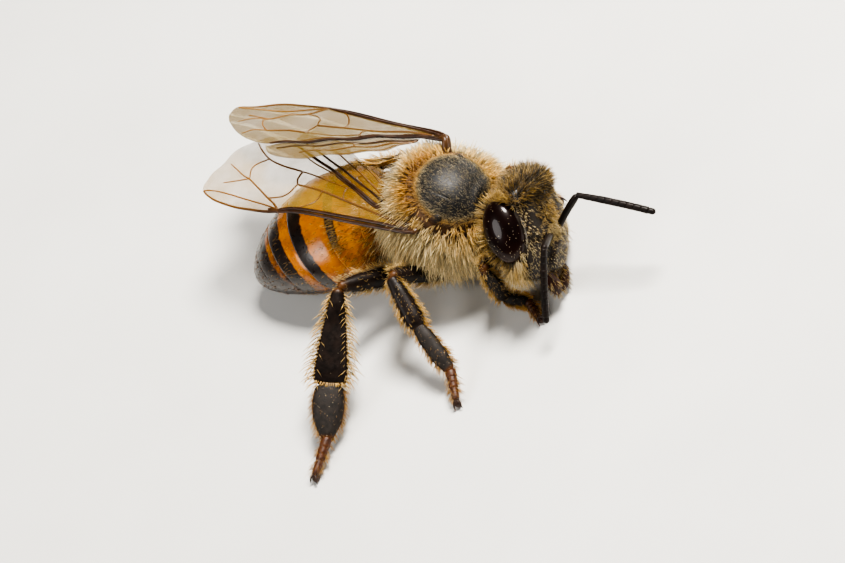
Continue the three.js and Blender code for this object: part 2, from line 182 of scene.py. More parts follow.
class Shape:
    """Collects closed shells, then makes them one mesh."""

    def __init__(self):
        self.points, self.quads, self.tris, self.marks, self.count = [], [], [], {}, 0

    def add(self, points, quads=None, tris=None, **marks):
        points = np.asarray(points, float).reshape(-1, 3)
        self.points.append(points)
        for store, cells, size in ((self.quads, quads, 4), (self.tris, tris, 3)):
            if cells is not None and len(cells):
                store.append(np.asarray(cells, np.int64).reshape(-1, size) + self.count)
        for key in set(self.marks) | set(marks):
            rows = self.marks.setdefault(key, [np.zeros(self.count)] if self.count else [])
            value = marks.get(key, 0.0)
            rows.append(np.broadcast_to(np.asarray(value, float), (len(points),)).copy()
                        if np.ndim(value) == 0 else np.asarray(value, float).ravel())
        self.count += len(points)
        return self

    def rings(self, rings, **marks):
        """A shell through rings of points, with a fan over each end. Marks are numbers that its points carry."""
        rings = np.asarray(rings, float)
        rows, sides = rings.shape[:2]
        i, j = np.meshgrid(np.arange(rows - 1), np.arange(sides), indexing="ij")
        a, b = i * sides + j, i * sides + (j + 1) % sides
        quads = np.stack([a, b, b + sides, a + sides], -1).reshape(-1, 4)
        first, last = rows * sides, rows * sides + 1
        k = np.arange(sides)
        near = np.stack([(k + 1) % sides, k, np.full(sides, first)], -1)
        far = np.stack([k, (k + 1) % sides, np.full(sides, last)], -1)
        far[:, :2] += (rows - 1) * sides
        points = np.concatenate([rings.reshape(-1, 3), [rings[0].mean(0), rings[-1].mean(0)]])
        for key, value in marks.items():
            if np.ndim(value):
                value = np.broadcast_to(value, (rows, sides))
                marks[key] = np.append(value.ravel(), [value[0].mean(), value[-1].mean()])
        return self.add(points, quads, np.concatenate([near, far]), **marks)

    def mesh(self, name, uv=None):
        points = place(np.concatenate(self.points))
        quads = np.concatenate(self.quads) if self.quads else np.zeros((0, 4), np.int64)
        tris = np.concatenate(self.tris) if self.tris else np.zeros((0, 3), np.int64)
        corners = np.concatenate([quads.ravel(), tris.ravel()])
        mesh = bpy.data.meshes.new(name)
        mesh.vertices.add(len(points))
        mesh.vertices.foreach_set("co", points.astype(np.float32).ravel())
        mesh.loops.add(len(corners))
        mesh.loops.foreach_set("vertex_index", corners.astype(np.int32))
        mesh.polygons.add(len(quads) + len(tris))
        starts = np.concatenate([np.arange(len(quads)) * 4, len(quads) * 4 + np.arange(len(tris)) * 3])
        mesh.polygons.foreach_set("loop_start", starts.astype(np.int32))
        mesh.update(calc_edges=True)
        mesh.polygons.foreach_set("use_smooth", np.ones(len(starts), bool))
        for key, rows in self.marks.items():
            layer = mesh.attributes.new(key, "FLOAT", "POINT")
            layer.data.foreach_set("value", np.concatenate(rows).astype(np.float32))
        if uv is not None:
            layer = mesh.uv_layers.new(name="OFBake")
            layer.data.foreach_set("uv", uv[corners].astype(np.float32).ravel())
        return mesh


def link(name, data):
    made = bpy.data.objects.new(name, data)
    bpy.context.scene.collection.objects.link(made)
    return made


def piece(name, shape, material, replaces=(), uv=None, recalculate=True):
    """Makes a shape an object that rides on the bee, in place of the solids that it replaces."""
    mesh = shape.mesh(name, uv)
    if recalculate:
        face_outward(mesh)
    mesh.materials.append(material)
    obj = link(name, mesh)
    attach(obj, "root")
    if replaces:
        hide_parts(*replaces)


def face_outward(mesh):
    work = bmesh.new()
    work.from_mesh(mesh)
    bmesh.ops.recalc_face_normals(work, faces=work.faces[:])
    work.to_mesh(mesh)
    work.free()


class Surface:
    """A wrapped grid of points that hair can be sown on."""

    def __init__(self, rings, inside=None):
        self.p = np.asarray(rings, float)
        self.along = np.gradient(self.p, axis=0)
        self.around = (np.roll(self.p, -1, 1) - np.roll(self.p, 1, 1)) / 2
        cross = np.cross(self.along, self.around)
        self.normal, self.area = unit(cross), np.linalg.norm(cross, axis=-1)
        middle = self.p.mean(1, keepdims=True) if inside is None else inside
        if (self.normal * (self.p - middle)).sum() < 0:
            self.normal = -self.normal

    def at(self, row, column, grid):
        """A grid's values between its points."""
        rows, sides = self.p.shape[:2]
        row = np.clip(row, 0, rows - 1.001)
        i, j = np.floor(row).astype(int), np.floor(column).astype(int)
        a, b = row - i, column - j
        if grid.ndim == 3:
            a, b = a[:, None], b[:, None]
        j, k = j % sides, (j + 1) % sides
        return ((grid[i, j] * (1 - a) + grid[i + 1, j] * a) * (1 - b)
                + (grid[i, k] * (1 - a) + grid[i + 1, k] * a) * b)

    def sow(self, rng, count, weight, per_tuft=1, spread=0.05):
        """Roots in tufts, as dense as weight says: their places, normals, unwrap and tufts."""
        odds = (self.area * weight)[:-1]
        odds = odds / odds.sum()
        tufts = max(1, count // per_tuft)
        cell = rng.choice(odds.size, tufts, p=odds.ravel())
        row = np.repeat(cell // odds.shape[1] + rng.random(tufts), per_tuft)
        column = np.repeat(cell % odds.shape[1] + rng.random(tufts), per_tuft)
        steps = [self.at(row, column, np.linalg.norm(way, axis=-1)) + 1e-6 for way in (self.along, self.around)]
        off = rng.normal(0, spread, (2, len(row))) if per_tuft > 1 else np.zeros((2, len(row)))
        rows, sides = self.p.shape[:2]
        row = np.clip(row + off[0] / steps[0], 0, rows - 1.01)
        column = (column + off[1] / steps[1]) % sides
        unwrap = np.stack([column / sides, row / (rows - 1)], -1)
        return (self.at(row, column, self.p), unit(self.at(row, column, self.normal)), unwrap,
                np.repeat(np.arange(tufts), per_tuft))


HAIR_FLOOR, HAIR_SHORTEST = 0.06, 0.15  # a tip stays this many mm up, but a hair keeps this much of its length
UV_PATCH, UV_MARGIN = 0.003, 0.0005  # how wide a hair's patch is on the unwrap, and how far it stays from the edges
HAIR_SIDES, HAIR_TAPER = 3, 0.55  # how much thinner the body of a hair is where its tip begins


class Coat:
    """Gathers hairs and makes them joined meshes of thin closed spikes."""

    def __init__(self):
        self.parts = []

    def grow(self, root, way, bend, length, width, uv, tint, tone):
        """Adds hairs: each leaves its root along way, bends by bend at its tip, and has a colour and a brightness."""
        count = len(root)
        way, bend = unit(way), np.broadcast_to(bend, (count, 3))
        fall = np.maximum(-(way + bend)[:, 2] * length, 1e-6)
        length = length * np.clip((root[:, 2] - HAIR_FLOOR) / fall, HAIR_SHORTEST, 1)
        self.parts.append((root, way, bend, uv, *(np.broadcast_to(a, count) for a in (length, width, tint, tone))))

    def make(self, name, material, slot, levels, pieces=1):
        hairs = [np.concatenate(rows) for rows in zip(*self.parts)]
        for number, chosen in enumerate(np.array_split(np.arange(len(hairs[0])), pieces)):
            label = f"{name}_{number + 1}" if pieces > 1 else name
            hair_piece(label, [rows[chosen] for rows in hairs], levels, material)


def hair_piece(name, hairs, levels, material):
    """One mesh of many spikes, each with levels rings of points and a tip."""
    root, way, bend, uv, length, width, tint, tone = hairs
    count, sides = len(root), HAIR_SIDES
    t = np.arange(levels) / levels
    side = unit(np.cross(way, np.where(np.abs(way[:, 2:]) < 0.9, (0.0, 0.0, 1.0), (1.0, 0.0, 0.0))))
    other = np.cross(way, side)
    middle = root[:, None] + length[:, None, None] * (
        t[None, :, None] * way[:, None] + (t ** 2)[None, :, None] * bend[:, None])
    radius = width[:, None] * 0.5 * (1 - HAIR_TAPER * t[None, :])
    spin = 2 * pi * np.arange(sides) / sides
    ring = (np.cos(spin)[None, None, :, None] * side[:, None, None]
            + np.sin(spin)[None, None, :, None] * other[:, None, None])
    body = middle[:, :, None] + radius[:, :, None, None] * ring
    tip = root + length[:, None] * (way + bend)
    size = levels * sides + 1
    points = np.concatenate([body.reshape(count, size - 1, 3), tip[:, None]], 1).reshape(-1, 3)
    k, j = np.meshgrid(np.arange(levels - 1), np.arange(sides), indexing="ij")
    a, b = k * sides + j, k * sides + (j + 1) % sides
    quads = np.stack([a, b, b + sides, a + sides], -1).reshape(-1, 4)
    top = size - 1 - sides
    tris = np.array([(top, top + 1, size - 1), (top + 1, top + 2, size - 1), (top + 2, top, size - 1), (2, 1, 0)])
    base = (np.arange(count) * size)[:, None, None]
    along = np.append(np.repeat(t, sides), 1.0)
    patch = np.stack([np.append(np.tile((-0.5, 0.0, 0.5), levels), 0.0), along - 0.5], -1) * UV_PATCH
    uv = np.clip(uv[:, None] + patch[None], UV_MARGIN, 1 - UV_MARGIN).reshape(-1, 2)
    shape = Shape().add(points, (quads[None] + base).reshape(-1, 4), (tris[None] + base).reshape(-1, 3),
                        tip=np.tile(along, count), tint=np.repeat(tint, size), tone=np.repeat(tone, size))
    piece(name, shape, material, uv=uv, recalculate=False)


# ---- materials


NOISE_ROUGHNESS = 0.55


class Look:
    """A Principled material with a few short ways to wire its nodes."""

    def __init__(self, name, **shader):
        self.material = bpy.data.materials.new(name)
        self.material.use_nodes = True
        self.tree = self.material.node_tree
        self.shader = self.tree.nodes["Principled BSDF"]
        self.place = self.node("ShaderNodeTexCoord").outputs["Object"]
        for key, value in shader.items():
            self.shader.inputs[key.replace("_", " ")].default_value = value

    def node(self, kind, **inputs):
        made = self.tree.nodes.new(kind)
        for key, value in inputs.items():
            self.wire(value, made.inputs[key.replace("_", " ")])
        return made

    def wire(self, value, socket):
        if isinstance(value, bpy.types.NodeSocket):
            self.tree.links.new(value, socket)
        else:
            socket.default_value = value

    def set(self, **inputs):
        for key, value in inputs.items():
            self.wire(value, self.shader.inputs[key.replace("_", " ")])
        return self

    def mark(self, name):
        """What a mesh's points carry under a name."""
        made = self.node("ShaderNodeAttribute")
        made.attribute_name = name
        return made.outputs["Fac"]

    def noise(self, size, detail):
        """Noise whose features are about size millimetres across."""
        return self.node("ShaderNodeTexNoise", Vector=self.place, Scale=1 / (size * MM), Detail=detail,
                         Roughness=NOISE_ROUGHNESS).outputs["Fac"]

    def cells(self, size):
        """Distances in cells about size millimetres across."""
        return self.node("ShaderNodeTexVoronoi", Vector=self.place, Scale=1 / (size * MM)).outputs["Distance"]

    def ramp(self, value, *stops):
        made = self.node("ShaderNodeValToRGB", Fac=value)
        line = made.color_ramp.elements
        while len(line) < len(stops):
            line.new(0.5)
        for element, (at, colour) in zip(line, stops):
            element.position = at
            element.color = (*colour, 1) if len(colour) == 3 else colour
        return made.outputs["Color"]

    def curve(self, value, low, high, to_low=0.0, to_high=1.0):
        """A value moved from one range to another, and kept inside it."""
        made = self.node("ShaderNodeMapRange", Value=value)
        for socket, number in zip(made.inputs[1:5], (low, high, to_low, to_high)):
            socket.default_value = number
        return made.outputs["Result"]

    def sum(self, how, a, b):
        """A Math node."""
        made = self.node("ShaderNodeMath")
        made.operation = how
        self.wire(a, made.inputs[0])
        self.wire(b, made.inputs[1])
        return made.outputs[0]

    def mix(self, amount, a, b, how="MIX"):
        made = self.node("ShaderNodeMix")
        made.data_type = "RGBA"
        made.blend_type = how
        self.wire(amount, made.inputs[0])
        for socket, colour in ((made.inputs[6], a), (made.inputs[7], b)):
            self.wire((*colour, 1) if isinstance(colour, tuple) else colour, socket)
        return made.outputs[2]

    def bump(self, height, depth, strength=1.0, under=None):
        """A bump depth millimetres deep."""
        made = self.node("ShaderNodeBump", Height=height, Strength=strength, Distance=depth * MM)
        if under is not None:
            self.wire(under, made.inputs["Normal"])
        return made.outputs["Normal"]

    def paint(self, amount, colour):
        """Lays a colour over the base colour."""
        base = self.shader.inputs["Base Color"].links[0].from_socket
        self.set(Base_Color=self.mix(amount, base, colour))


def cuticle(name, dark, light, roughness, pit, pit_depth, grain, *paints, **shader):
    """Insect shell: dark, slightly mottled, with fine pits that hold dull light, and paint where marks say."""
    look = Look(name, **shader)
    look.set(
        Base_Color=look.ramp(look.noise(grain, 4), (0.3, dark), (0.75, light)),
        Roughness=look.curve(look.noise(grain / 2, 3), 0.3, 0.7, *roughness),
        Normal=look.bump(look.cells(pit), pit_depth, 0.7, look.bump(look.noise(pit / 2, 2), pit_depth / 3, 0.6)),
    )
    for mark, strength, colour in paints:
        look.paint(look.sum("MULTIPLY", look.mark(mark), strength), colour)
    return look.material


def mottled(name, size, detail, *stops, **shader):
    """Two colours in soft patches about size millimetres across."""
    look = Look(name, **shader)
    return look.set(Base_Color=look.ramp(look.noise(size, detail), *stops)).material


def eye_look():
    look = Look("eye", Roughness=0.36, Coat_Weight=0.38, Coat_Roughness=0.07, Specular_IOR_Level=0.12)
    shade = look.ramp(look.noise(0.7, 2), (0.3, (0.004, 0.0012, 0.001)), (0.75, (0.012, 0.003, 0.002)))
    look.set(Base_Color=look.mix(look.mark("low"), shade, (0.02, 0.005, 0.0025)),
             Normal=look.bump(look.cells(0.03), 0.002, 0.3))  # the bump is the facets
    return look.material


def abdomen_look():
    """Amber plates with dark hind bands, with painted shade that darkens them underneath, and a tip that is darker in
    its own colour.
    """
    look = Look("abdomen_plate", Coat_Weight=0.34, Coat_Roughness=0.2, Subsurface_Weight=0.1,
                Subsurface_Scale=0.0004, Subsurface_Radius=(1.0, 0.4, 0.12))
    mottle = look.noise(0.5, 4)
    amber = look.ramp(mottle, (0.25, (0.27, 0.07, 0.0025)), (0.5, (0.48, 0.15, 0.005)), (0.8, (0.62, 0.24, 0.012)))
    dark = look.ramp(mottle, (0.3, (0.006, 0.0035, 0.0025)), (0.8, (0.022, 0.01, 0.006)))
    # brown: the colour of the painted shade underneath and of the darker tip plates
    brown = look.ramp(mottle, (0.3, (0.014, 0.0055, 0.002)), (0.8, (0.05, 0.018, 0.005)))
    uneven = look.curve(look.noise(0.22, 4), 0.3, 0.7, -0.3, 0.3)
    band = look.curve(look.sum("ADD", look.mark("band"), uneven), 0.3, 0.68)
    shade_and_tip_amount = look.curve(look.sum("ADD", look.mark("soot"), uneven), 0.2, 0.9)
    look.set(
        Base_Color=look.mix(band, look.mix(shade_and_tip_amount, amber, brown), dark),
        Roughness=look.curve(look.noise(0.15, 3), 0.3, 0.7, 0.26, 0.42),
        Normal=look.bump(look.cells(0.07), 0.006, 0.5, look.bump(look.noise(0.03, 3), 0.002, 0.6)),
    )
    return look.material


def hair_look(name, *ends):
    """Hair from pale to deep by its tint mark, darker at the root and paler at the tip."""
    look = Look(name, Roughness=0.42, Specular_IOR_Level=0.45, Sheen_Weight=0.15)
    tone = look.curve(look.mark("tone"), 0, 1, 0.42, 1.25)
    tip = look.curve(look.mark("tip"), 0, 1, 0.42, 1.2)
    patch = look.curve(look.noise(0.6, 2), 0.3, 0.7, 0.85, 1.12)
    shade = look.sum("MULTIPLY", look.sum("MULTIPLY", tone, tip), patch)
    grey = look.node("ShaderNodeCombineColor", Red=shade, Green=shade, Blue=shade).outputs[0]
    return look.set(Base_Color=look.mix(1.0, look.ramp(look.mark("tint"), *ends), grey, "MULTIPLY")).material


def membrane_look():
    """Clear wing film with an amber tint, tiny hairs as grain, and slight thin-film colour."""
    look = Look("wing_membrane", Roughness=0.2, IOR=1.45, Thin_Film_Thickness=380.0, Thin_Film_IOR=1.5,
                Specular_IOR_Level=0.3)
    cloud = look.noise(1.2, 3)
    grain = look.cells(0.05)
    tint = look.ramp(cloud, (0.3, (0.22, 0.12, 0.02)), (0.75, (0.38, 0.24, 0.05)))
    see = look.sum("ADD", look.curve(cloud, 0.3, 0.7, 0.24, 0.4), look.curve(grain, 0.0, 0.25, 0.12, 0.0))
    see = look.sum("ADD", see, look.sum("MULTIPLY", look.mark("smoky"), 0.35))
    look.set(Base_Color=look.mix(look.mark("smoky"), tint, (0.13, 0.09, 0.025)), Alpha=see,
             Normal=look.bump(look.noise(0.35, 3), 0.02, 0.6, look.bump(grain, 0.003, 0.5)))
    return look.material


SKIN = cuticle("skin", (0.005, 0.004, 0.0035), (0.016, 0.012, 0.009), (0.36, 0.55), 0.05, 0.006, 0.25,
               ("tint", 0.55, (0.2, 0.09, 0.025)), Specular_IOR_Level=0.3)
SCUTUM = cuticle("scutum_plate", (0.006, 0.006, 0.006), (0.017, 0.0165, 0.017), (0.4, 0.58), 0.035, 0.006, 0.3,
                 Specular_IOR_Level=0.35)
SHELL = cuticle("leg_shell", (0.005, 0.0035, 0.003), (0.017, 0.009, 0.006), (0.36, 0.52), 0.05, 0.003, 0.25,
                ("warm", 1, (0.19, 0.075, 0.02)), ("edge", 1, (0.5, 0.3, 0.08)), Specular_IOR_Level=0.26)
BASI = cuticle("basitarsus_shell", (0.009, 0.007, 0.006), (0.03, 0.023, 0.019), (0.48, 0.66), 0.035, 0.006, 0.15,
               ("warm", 1, (0.24, 0.085, 0.02)), ("edge", 1, (0.3, 0.13, 0.03)), Specular_IOR_Level=0.3)
FOOT = cuticle("foot_shell", (0.03, 0.007, 0.0015), (0.105, 0.031, 0.004), (0.4, 0.58), 0.04, 0.004, 0.12,
               ("dark", 1, (0.02, 0.009, 0.005)), Subsurface_Weight=0.1, Subsurface_Scale=0.00015)
JAW = cuticle("jaw", (0.009, 0.0025, 0.0012), (0.04, 0.009, 0.0035), (0.3, 0.46), 0.08, 0.003, 0.2,
              Coat_Weight=0.04, Coat_Roughness=0.2, Specular_IOR_Level=0.16)
VEIN = cuticle("wing_vein", (0.014, 0.006, 0.003), (0.055, 0.021, 0.007), (0.3, 0.45), 0.06, 0.003, 0.3,
               ("pale", 1, (0.3, 0.14, 0.035)))
# the ridge inside each eye: pale grey cuticle, a painted highlight on a glossy surface
RIM_HIGHLIGHT = cuticle("eye_rim_highlight", (0.05, 0.045, 0.038), (0.17, 0.15, 0.125), (0.2, 0.32), 0.04, 0.003, 0.15)
OCELLUS = mottled("ocellus", 0.1, 2, (0.3, (0.012, 0.004, 0.002)), (0.8, (0.05, 0.018, 0.008)),
                  Roughness=0.1, Coat_Weight=0.8, Coat_Roughness=0.04)
SPECK = mottled("pollen", 0.05, 2, (0.3, (0.45, 0.36, 0.2)), (0.8, (0.85, 0.78, 0.6)), Roughness=0.7)
EYE, AMBER, MEMBRANE = eye_look(), abdomen_look(), membrane_look()
HAIR = hair_look("body_hair", (0.0, (0.82, 0.66, 0.36)), (0.35, (0.71, 0.45, 0.13)), (0.7, (0.57, 0.28, 0.04)),
                 (1.0, (0.24, 0.1, 0.02)))
FACE_HAIR = hair_look("face_hair", (0.0, (0.78, 0.62, 0.33)), (0.5, (0.46, 0.28, 0.06)), (1.0, (0.035, 0.026, 0.012)))

# ---- thorax

CENTRE_TO_BACK = radians(66)  # from the scutum's middle back to the scutellum's
DISC_EDGE, DISC_RISE, DISC_DEPTH = 46.5, 0.02, 0.16  # degrees from its middle; mm over and under the skin
TEGULA_OUT, TEGULA_HALF = 1.46, (0.3, 0.2, 0.22)  # mm from the thorax's centre, and its half length, width and height
DISC_UP = unit(SCUTUM_NORMAL)
DISC_LEFT = unit(np.array([0, 1.0, 0]) - DISC_UP * DISC_UP[1])
DISC_AHEAD = np.cross(DISC_LEFT, DISC_UP)
SCUTELLUM = DISC_UP * cos(CENTRE_TO_BACK) - DISC_AHEAD * sin(CENTRE_TO_BACK)


def angle(ways, way):
    """The angle between unit vectors and one more."""
    return np.arccos(np.clip(ways @ way, -1, 1))


def thorax_radius(way):
    """How far the hairless thorax reaches from its centre along unit vectors."""
    local = way @ THORAX_TURN
    reach = 1 / np.sqrt(((local / THORAX_HALF) ** 2).sum(-1))
    along = np.arcsin(np.clip(way @ np.cross(DISC_LEFT, SCUTELLUM), -1, 1))
    across = np.arcsin(np.clip(way @ DISC_LEFT, -1, 1))
    behind = (way @ SCUTELLUM) > 0
    lobe = bell(along + 0.25 * across ** 2, 0.15) * bell(across, 0.5) * behind
    groove = bell(along + 0.25 * across ** 2 - 0.235, 0.045) * bell(across, 0.62) * behind
    rim = bell(angle(way, DISC_UP) - radians(50), 0.06)
    collar = bell(angle(local, (1, 0, 0)) - radians(33), 0.09) * smooth(local[..., 2], -0.2, 0.2)
    flank = bell(local[..., 2] + 0.2, 0.45) * bell(np.abs(local[..., 1]) - 0.85, 0.3)
    return reach * (1 + 0.075 * lobe - 0.05 * groove - 0.02 * rim + 0.03 * collar + 0.02 * flank)


def polar_grid(rows, sides):
    """Unit vectors over the sphere, from the +X pole to the -X pole."""
    theta = np.linspace(0.03, pi - 0.03, rows)[:, None]
    phi = circle(sides)[None, :]
    return np.stack([np.cos(theta) + 0 * phi, np.sin(theta) * np.cos(phi), np.sin(theta) * np.sin(phi)], -1)


thorax_ways = polar_grid(120, 180)
thorax_rings = THORAX + thorax_ways * thorax_radius(thorax_ways)[..., None]


def from_scutum(p):
    """The angle in degrees between the scutum's normal and points, seen from the thorax's centre."""
    return np.degrees(angle(unit(p - THORAX), DISC_UP))


def thorax_tint(p):
    """Orange about the scutum, pale on the flanks."""
    back = smooth(-(p - THORAX) @ DISC_AHEAD, -0.2, 1.2)
    return clamp(bell(from_scutum(p) - 50, 14) * (0.55 + 0.35 * back))


# ---- head

HEAD_SIDES, HEAD_ROWS = 160, 110
CHIN, CROWN = 1.55, 1.6


def head_section(t):
    width = 1.58 * np.sin(pi * (0.1 + 0.8 * t ** 0.8)) ** 0.6
    face = 0.8 * np.sin(pi * (0.17 + 0.69 * t)) ** 0.5
    nape = 0.5 * np.sin(pi * (0.1 + 0.84 * t)) ** 0.6
    return width, face, nape


def head_relief(y, z):
    """How far the face stands forward of its plain curve."""
    clypeus = smooth(1 - (y / (0.62 - 0.2 * smooth(z, -1.2, -0.45))) ** 2 - ((z + 0.98) / 0.55) ** 2, 0, 0.5)
    suture = bell(np.sqrt((y / 0.55) ** 2 + ((z + 0.95) / 0.52) ** 2) - 1.08, 0.09)
    ridge = bell(y, 0.16) * bell(z + 0.3, 0.3)
    line = bell(y, 0.03) * smooth(z, 0.1, 0.25) * smooth(-z, -1.2, -0.95)
    sockets = bell(np.hypot(np.abs(y) - 0.24, z + 0.25), 0.12)
    hollows = bell(np.abs(y) - 0.5, 0.22) * bell(z - 0.45, 0.42)
    crown = bell(np.hypot(y, z - 1.1), 0.38)
    return (0.12 * clypeus - 0.04 * suture + 0.05 * ridge - 0.03 * line - 0.07 * sockets - 0.06 * hollows
            + 0.05 * crown)


def head_grid():
    t = np.linspace(0, 1, HEAD_ROWS)[:, None]
    t = t + 0.02 * np.sin(2 * pi * t)
    a = circle(HEAD_SIDES)[None, :]
    width, face, nape = head_section(t)
    z = -CHIN + t * (CHIN + CROWN)
    cap = np.sqrt(np.clip(1 - (2 * np.clip(np.abs(t - 0.5), 0.42, 0.5) - 0.84) ** 2 / 0.16 ** 2, 0.02, 1))
    across = np.where(np.cos(a) > 0, face * np.abs(np.cos(a)) ** 0.66, nape * np.cos(a))
    x = across * cap
    y = width * np.sin(a) * cap
    x = x + head_relief(y, z) * smooth(np.cos(a), 0.0, 0.5)
    return np.stack([x, y + 0 * x, z + 0 * x], -1)


head_local = head_grid()
head_rings = from_head(head_local)


def head_hair_tint(local):
    """Dark on the crown, pale on the face and cheeks."""
    y, z = local[..., 1], local[..., 2]
    return clamp(1.1 * smooth(z, 0.7, 1.1) * bell(y, 1.2) + 0.55 * bell(z - 0.3, 0.6) * bell(y, 1.0))


# ---- limbs


def frame_of(a, b, facing):
    axis = unit(np.subtract(b, a))
    across = unit(np.cross(axis, facing))
    return axis, across, np.cross(across, axis)


def limb(a, b, profile, facing, rows=40, sides=40, hollow=0.0, start=0.0, end=0.0, bow=0.0, square=0.0):
    """Rings of a limb from a to b. profile lists (t, half width, half thickness). hollow dishes its outer face."""
    a, b = np.asarray(a, float), np.asarray(b, float)
    axis, across, up = frame_of(a, b, facing)
    length = np.linalg.norm(b - a)
    t = 0.5 - 0.5 * np.cos(np.linspace(0, pi, rows))
    stops, wide, thick = np.array(profile, float).T
    half_w, half_t = np.interp(t, stops, wide), np.interp(t, stops, thick)
    kernel = np.array([0.25, 0.5, 0.25])
    for _ in range(3):
        half_w = np.convolve(np.pad(half_w, 1, "edge"), kernel, "valid")
        half_t = np.convolve(np.pad(half_t, 1, "edge"), kernel, "valid")
    near = clamp(np.minimum(t, 1 - t) * length / np.maximum(half_t, 0.05))
    cap = np.sqrt(np.clip(1 - (1 - near) ** 2, 0.0025, 1))
    phi = circle(sides)
    c, s = np.cos(phi), np.sin(phi)
    power = 1 / (1 + square)
    c, s = np.sign(c) * np.abs(c) ** power, np.sign(s) * np.abs(s) ** power
    centre = a + (start + t * (length - start - end))[:, None] * axis + (bow * 4 * t * (1 - t))[:, None] * up
    wide_now, thick_now = half_w * cap, half_t * cap
    out = thick_now[:, None] * s[None]
    if hollow:
        dish = hollow * clamp(1 - (c / 0.86) ** 2) ** 0.8 * (s > 0)
        out = out - dish[None] * smooth(t, 0.12, 0.4)[:, None] * smooth(1 - t, 0.01, 0.05)[:, None]
    return (centre[:, None] + (wide_now[:, None] * c[None])[..., None] * across + out[..., None] * up), t, phi


def tube(points, radii, sides=10, flat=1.0, facing=(0.1, 0.2, 1.0)):
    """Rings about a line of points."""
    points, radii = np.asarray(points, float), np.asarray(radii, float)
    axis = unit(np.gradient(points, axis=0))
    across = unit(np.cross(axis, np.asarray(facing, float)))
    up = np.cross(across, axis)
    phi = circle(sides)
    return points[:, None] + radii[:, None, None] * (
        np.cos(phi)[None, :, None] * across[:, None] + flat * np.sin(phi)[None, :, None] * up[:, None])


def bezier(points, count):
    """A smooth line through points, by Catmull and Rom's rule."""
    p = np.asarray(points, float)
    p = np.concatenate([[2 * p[0] - p[1]], p, [2 * p[-1] - p[-2]]])
    out = []
    spans = len(p) - 3
    for value in np.linspace(0, spans, count):
        i = min(int(value), spans - 1)
        t = value - i
        a, b, c, d = p[i:i + 4]
        out.append(0.5 * (2 * b + (c - a) * t + (2 * a - 5 * b + 4 * c - d) * t ** 2
                          + (3 * b - a - 3 * c + d) * t ** 3))
    return np.array(out)


# ---- the body's skin


def make_body():
    skin = Shape()
    skin.rings(thorax_rings, tint=thorax_tint(thorax_rings))
    skin.rings(head_rings, tint=0.06 * (1 - head_hair_tint(head_local)))
    neck = bezier([(1.2, 0.0, 2.2), (2.0, -0.1, 2.2), (2.75, -0.3, 2.1)], 12)
    skin.rings(tube(neck, np.linspace(0.5, 0.36, 12), 32), tint=0.1)
    petiole = bezier([(-1.35, -0.03, 1.95), (-2.0, -0.05, 1.92), (-2.5, -0.08, 1.9)], 16)
    pinch = 0.42 - 0.1 * bell(np.linspace(-1, 1, 16) - 0.1, 0.4)
    skin.rings(tube(petiole, pinch, 32), tint=0.3)
    piece("body_skin", skin, SKIN, ("thorax", "neck", "head", "petiole"))


def make_scutum():
    """The bald disc, raised a little from the skin, with a middle line and two side lines."""
    around = circle(144)[None, :]
    far = np.radians(np.linspace(0.5, DISC_EDGE, 60))[:, None] * (1 - 0.03 * np.cos(around))
    x, y = np.sin(far) * np.cos(around), np.sin(far) * np.sin(around)
    way = np.cos(far)[..., None] * DISC_UP + x[..., None] * DISC_AHEAD + y[..., None] * DISC_LEFT
    lines = (0.012 * bell(y, 0.012) * smooth(x, 0.0, 0.25)
             + 0.01 * bell(np.abs(y) - 0.33 - 0.1 * x, 0.014) * smooth(-x, -0.4, 0.1))
    edge = smooth(far, radians(43), radians(DISC_EDGE))
    top = THORAX + way * (thorax_radius(way) + DISC_RISE - lines - 0.09 * edge)[..., None]
    under = THORAX + way[::-1] * (thorax_radius(way[::-1]) - DISC_DEPTH)[..., None]
    piece("scutum_plate", Shape().rings(np.concatenate([top, under])), SCUTUM, ("scutum",))
    return top


def make_tegulae():
    grid = polar_grid(28, 48)
    x, y, z = grid[..., 0], grid[..., 1], grid[..., 2]
    for side, way in TEGULA_WAY.items():
        way = unit(way)
        back = unit(np.array([-1, 0, -0.1]) - way * np.dot(way, (-1, 0, -0.1)))
        body = ((TEGULA_HALF[2] * z * (1 - 0.25 * x))[..., None] * way + (TEGULA_HALF[0] * x)[..., None] * back
                + (TEGULA_HALF[1] * y)[..., None] * np.cross(way, back))
        shape = Shape().rings(THORAX + way * TEGULA_OUT + body, warm=0.25 * smooth(x, -0.2, 0.8), edge=0.0)
        piece(f"tegula_plate_{side}", shape, BASI, (f"tegula_{side}",))


def make_eyes():
    """Two kidney-shaped eyes, and a thin ridge round each on its inner side, coloured pale grey as a painted
    highlight.
    """
    surfaces, rim_highlights = {}, Shape()
    grid = polar_grid(90, 110)
    up = np.radians(np.linspace(-62, 66, 40))
    for side, name in ((1, "left"), (-1, "right")):
        x, y, z = grid[..., 1], side * grid[..., 0], grid[..., 2]
        kidney = 1 - 0.05 * bell(x - 0.9, 0.35) * bell(z - 0.15, 0.35)
        rings = from_head(eye_to_head(np.stack([x * kidney, y, z], -1) * EYE_SHOWN_HALF, side))
        piece(f"compound_eye_{name}", Shape().rings(rings, low=smooth(-z, 0.3, 0.9)), EYE, (f"eye_{name}",))
        surfaces[name] = rings, grid
        # the inner ridge of the eye: its pale grey colour is a painted highlight
        line = np.stack([np.cos(up) * 1.05, 0 * up - 0.02 * side, np.sin(up) * 1.02], -1) * EYE_SHOWN_HALF
        rim_highlights.rings(tube(from_head(eye_to_head(line, side)), 0.03 * np.sin(np.linspace(0.12, pi - 0.12, 40)) ** 0.5))
    piece("eye_rim_highlights", rim_highlights, RIM_HIGHLIGHT)
    return surfaces


OCELLI, OCELLUS_RADIUS = ((0.0, 1.0), (0.24, 1.2), (-0.24, 1.2)), 0.1  # left and up on the crown, mm


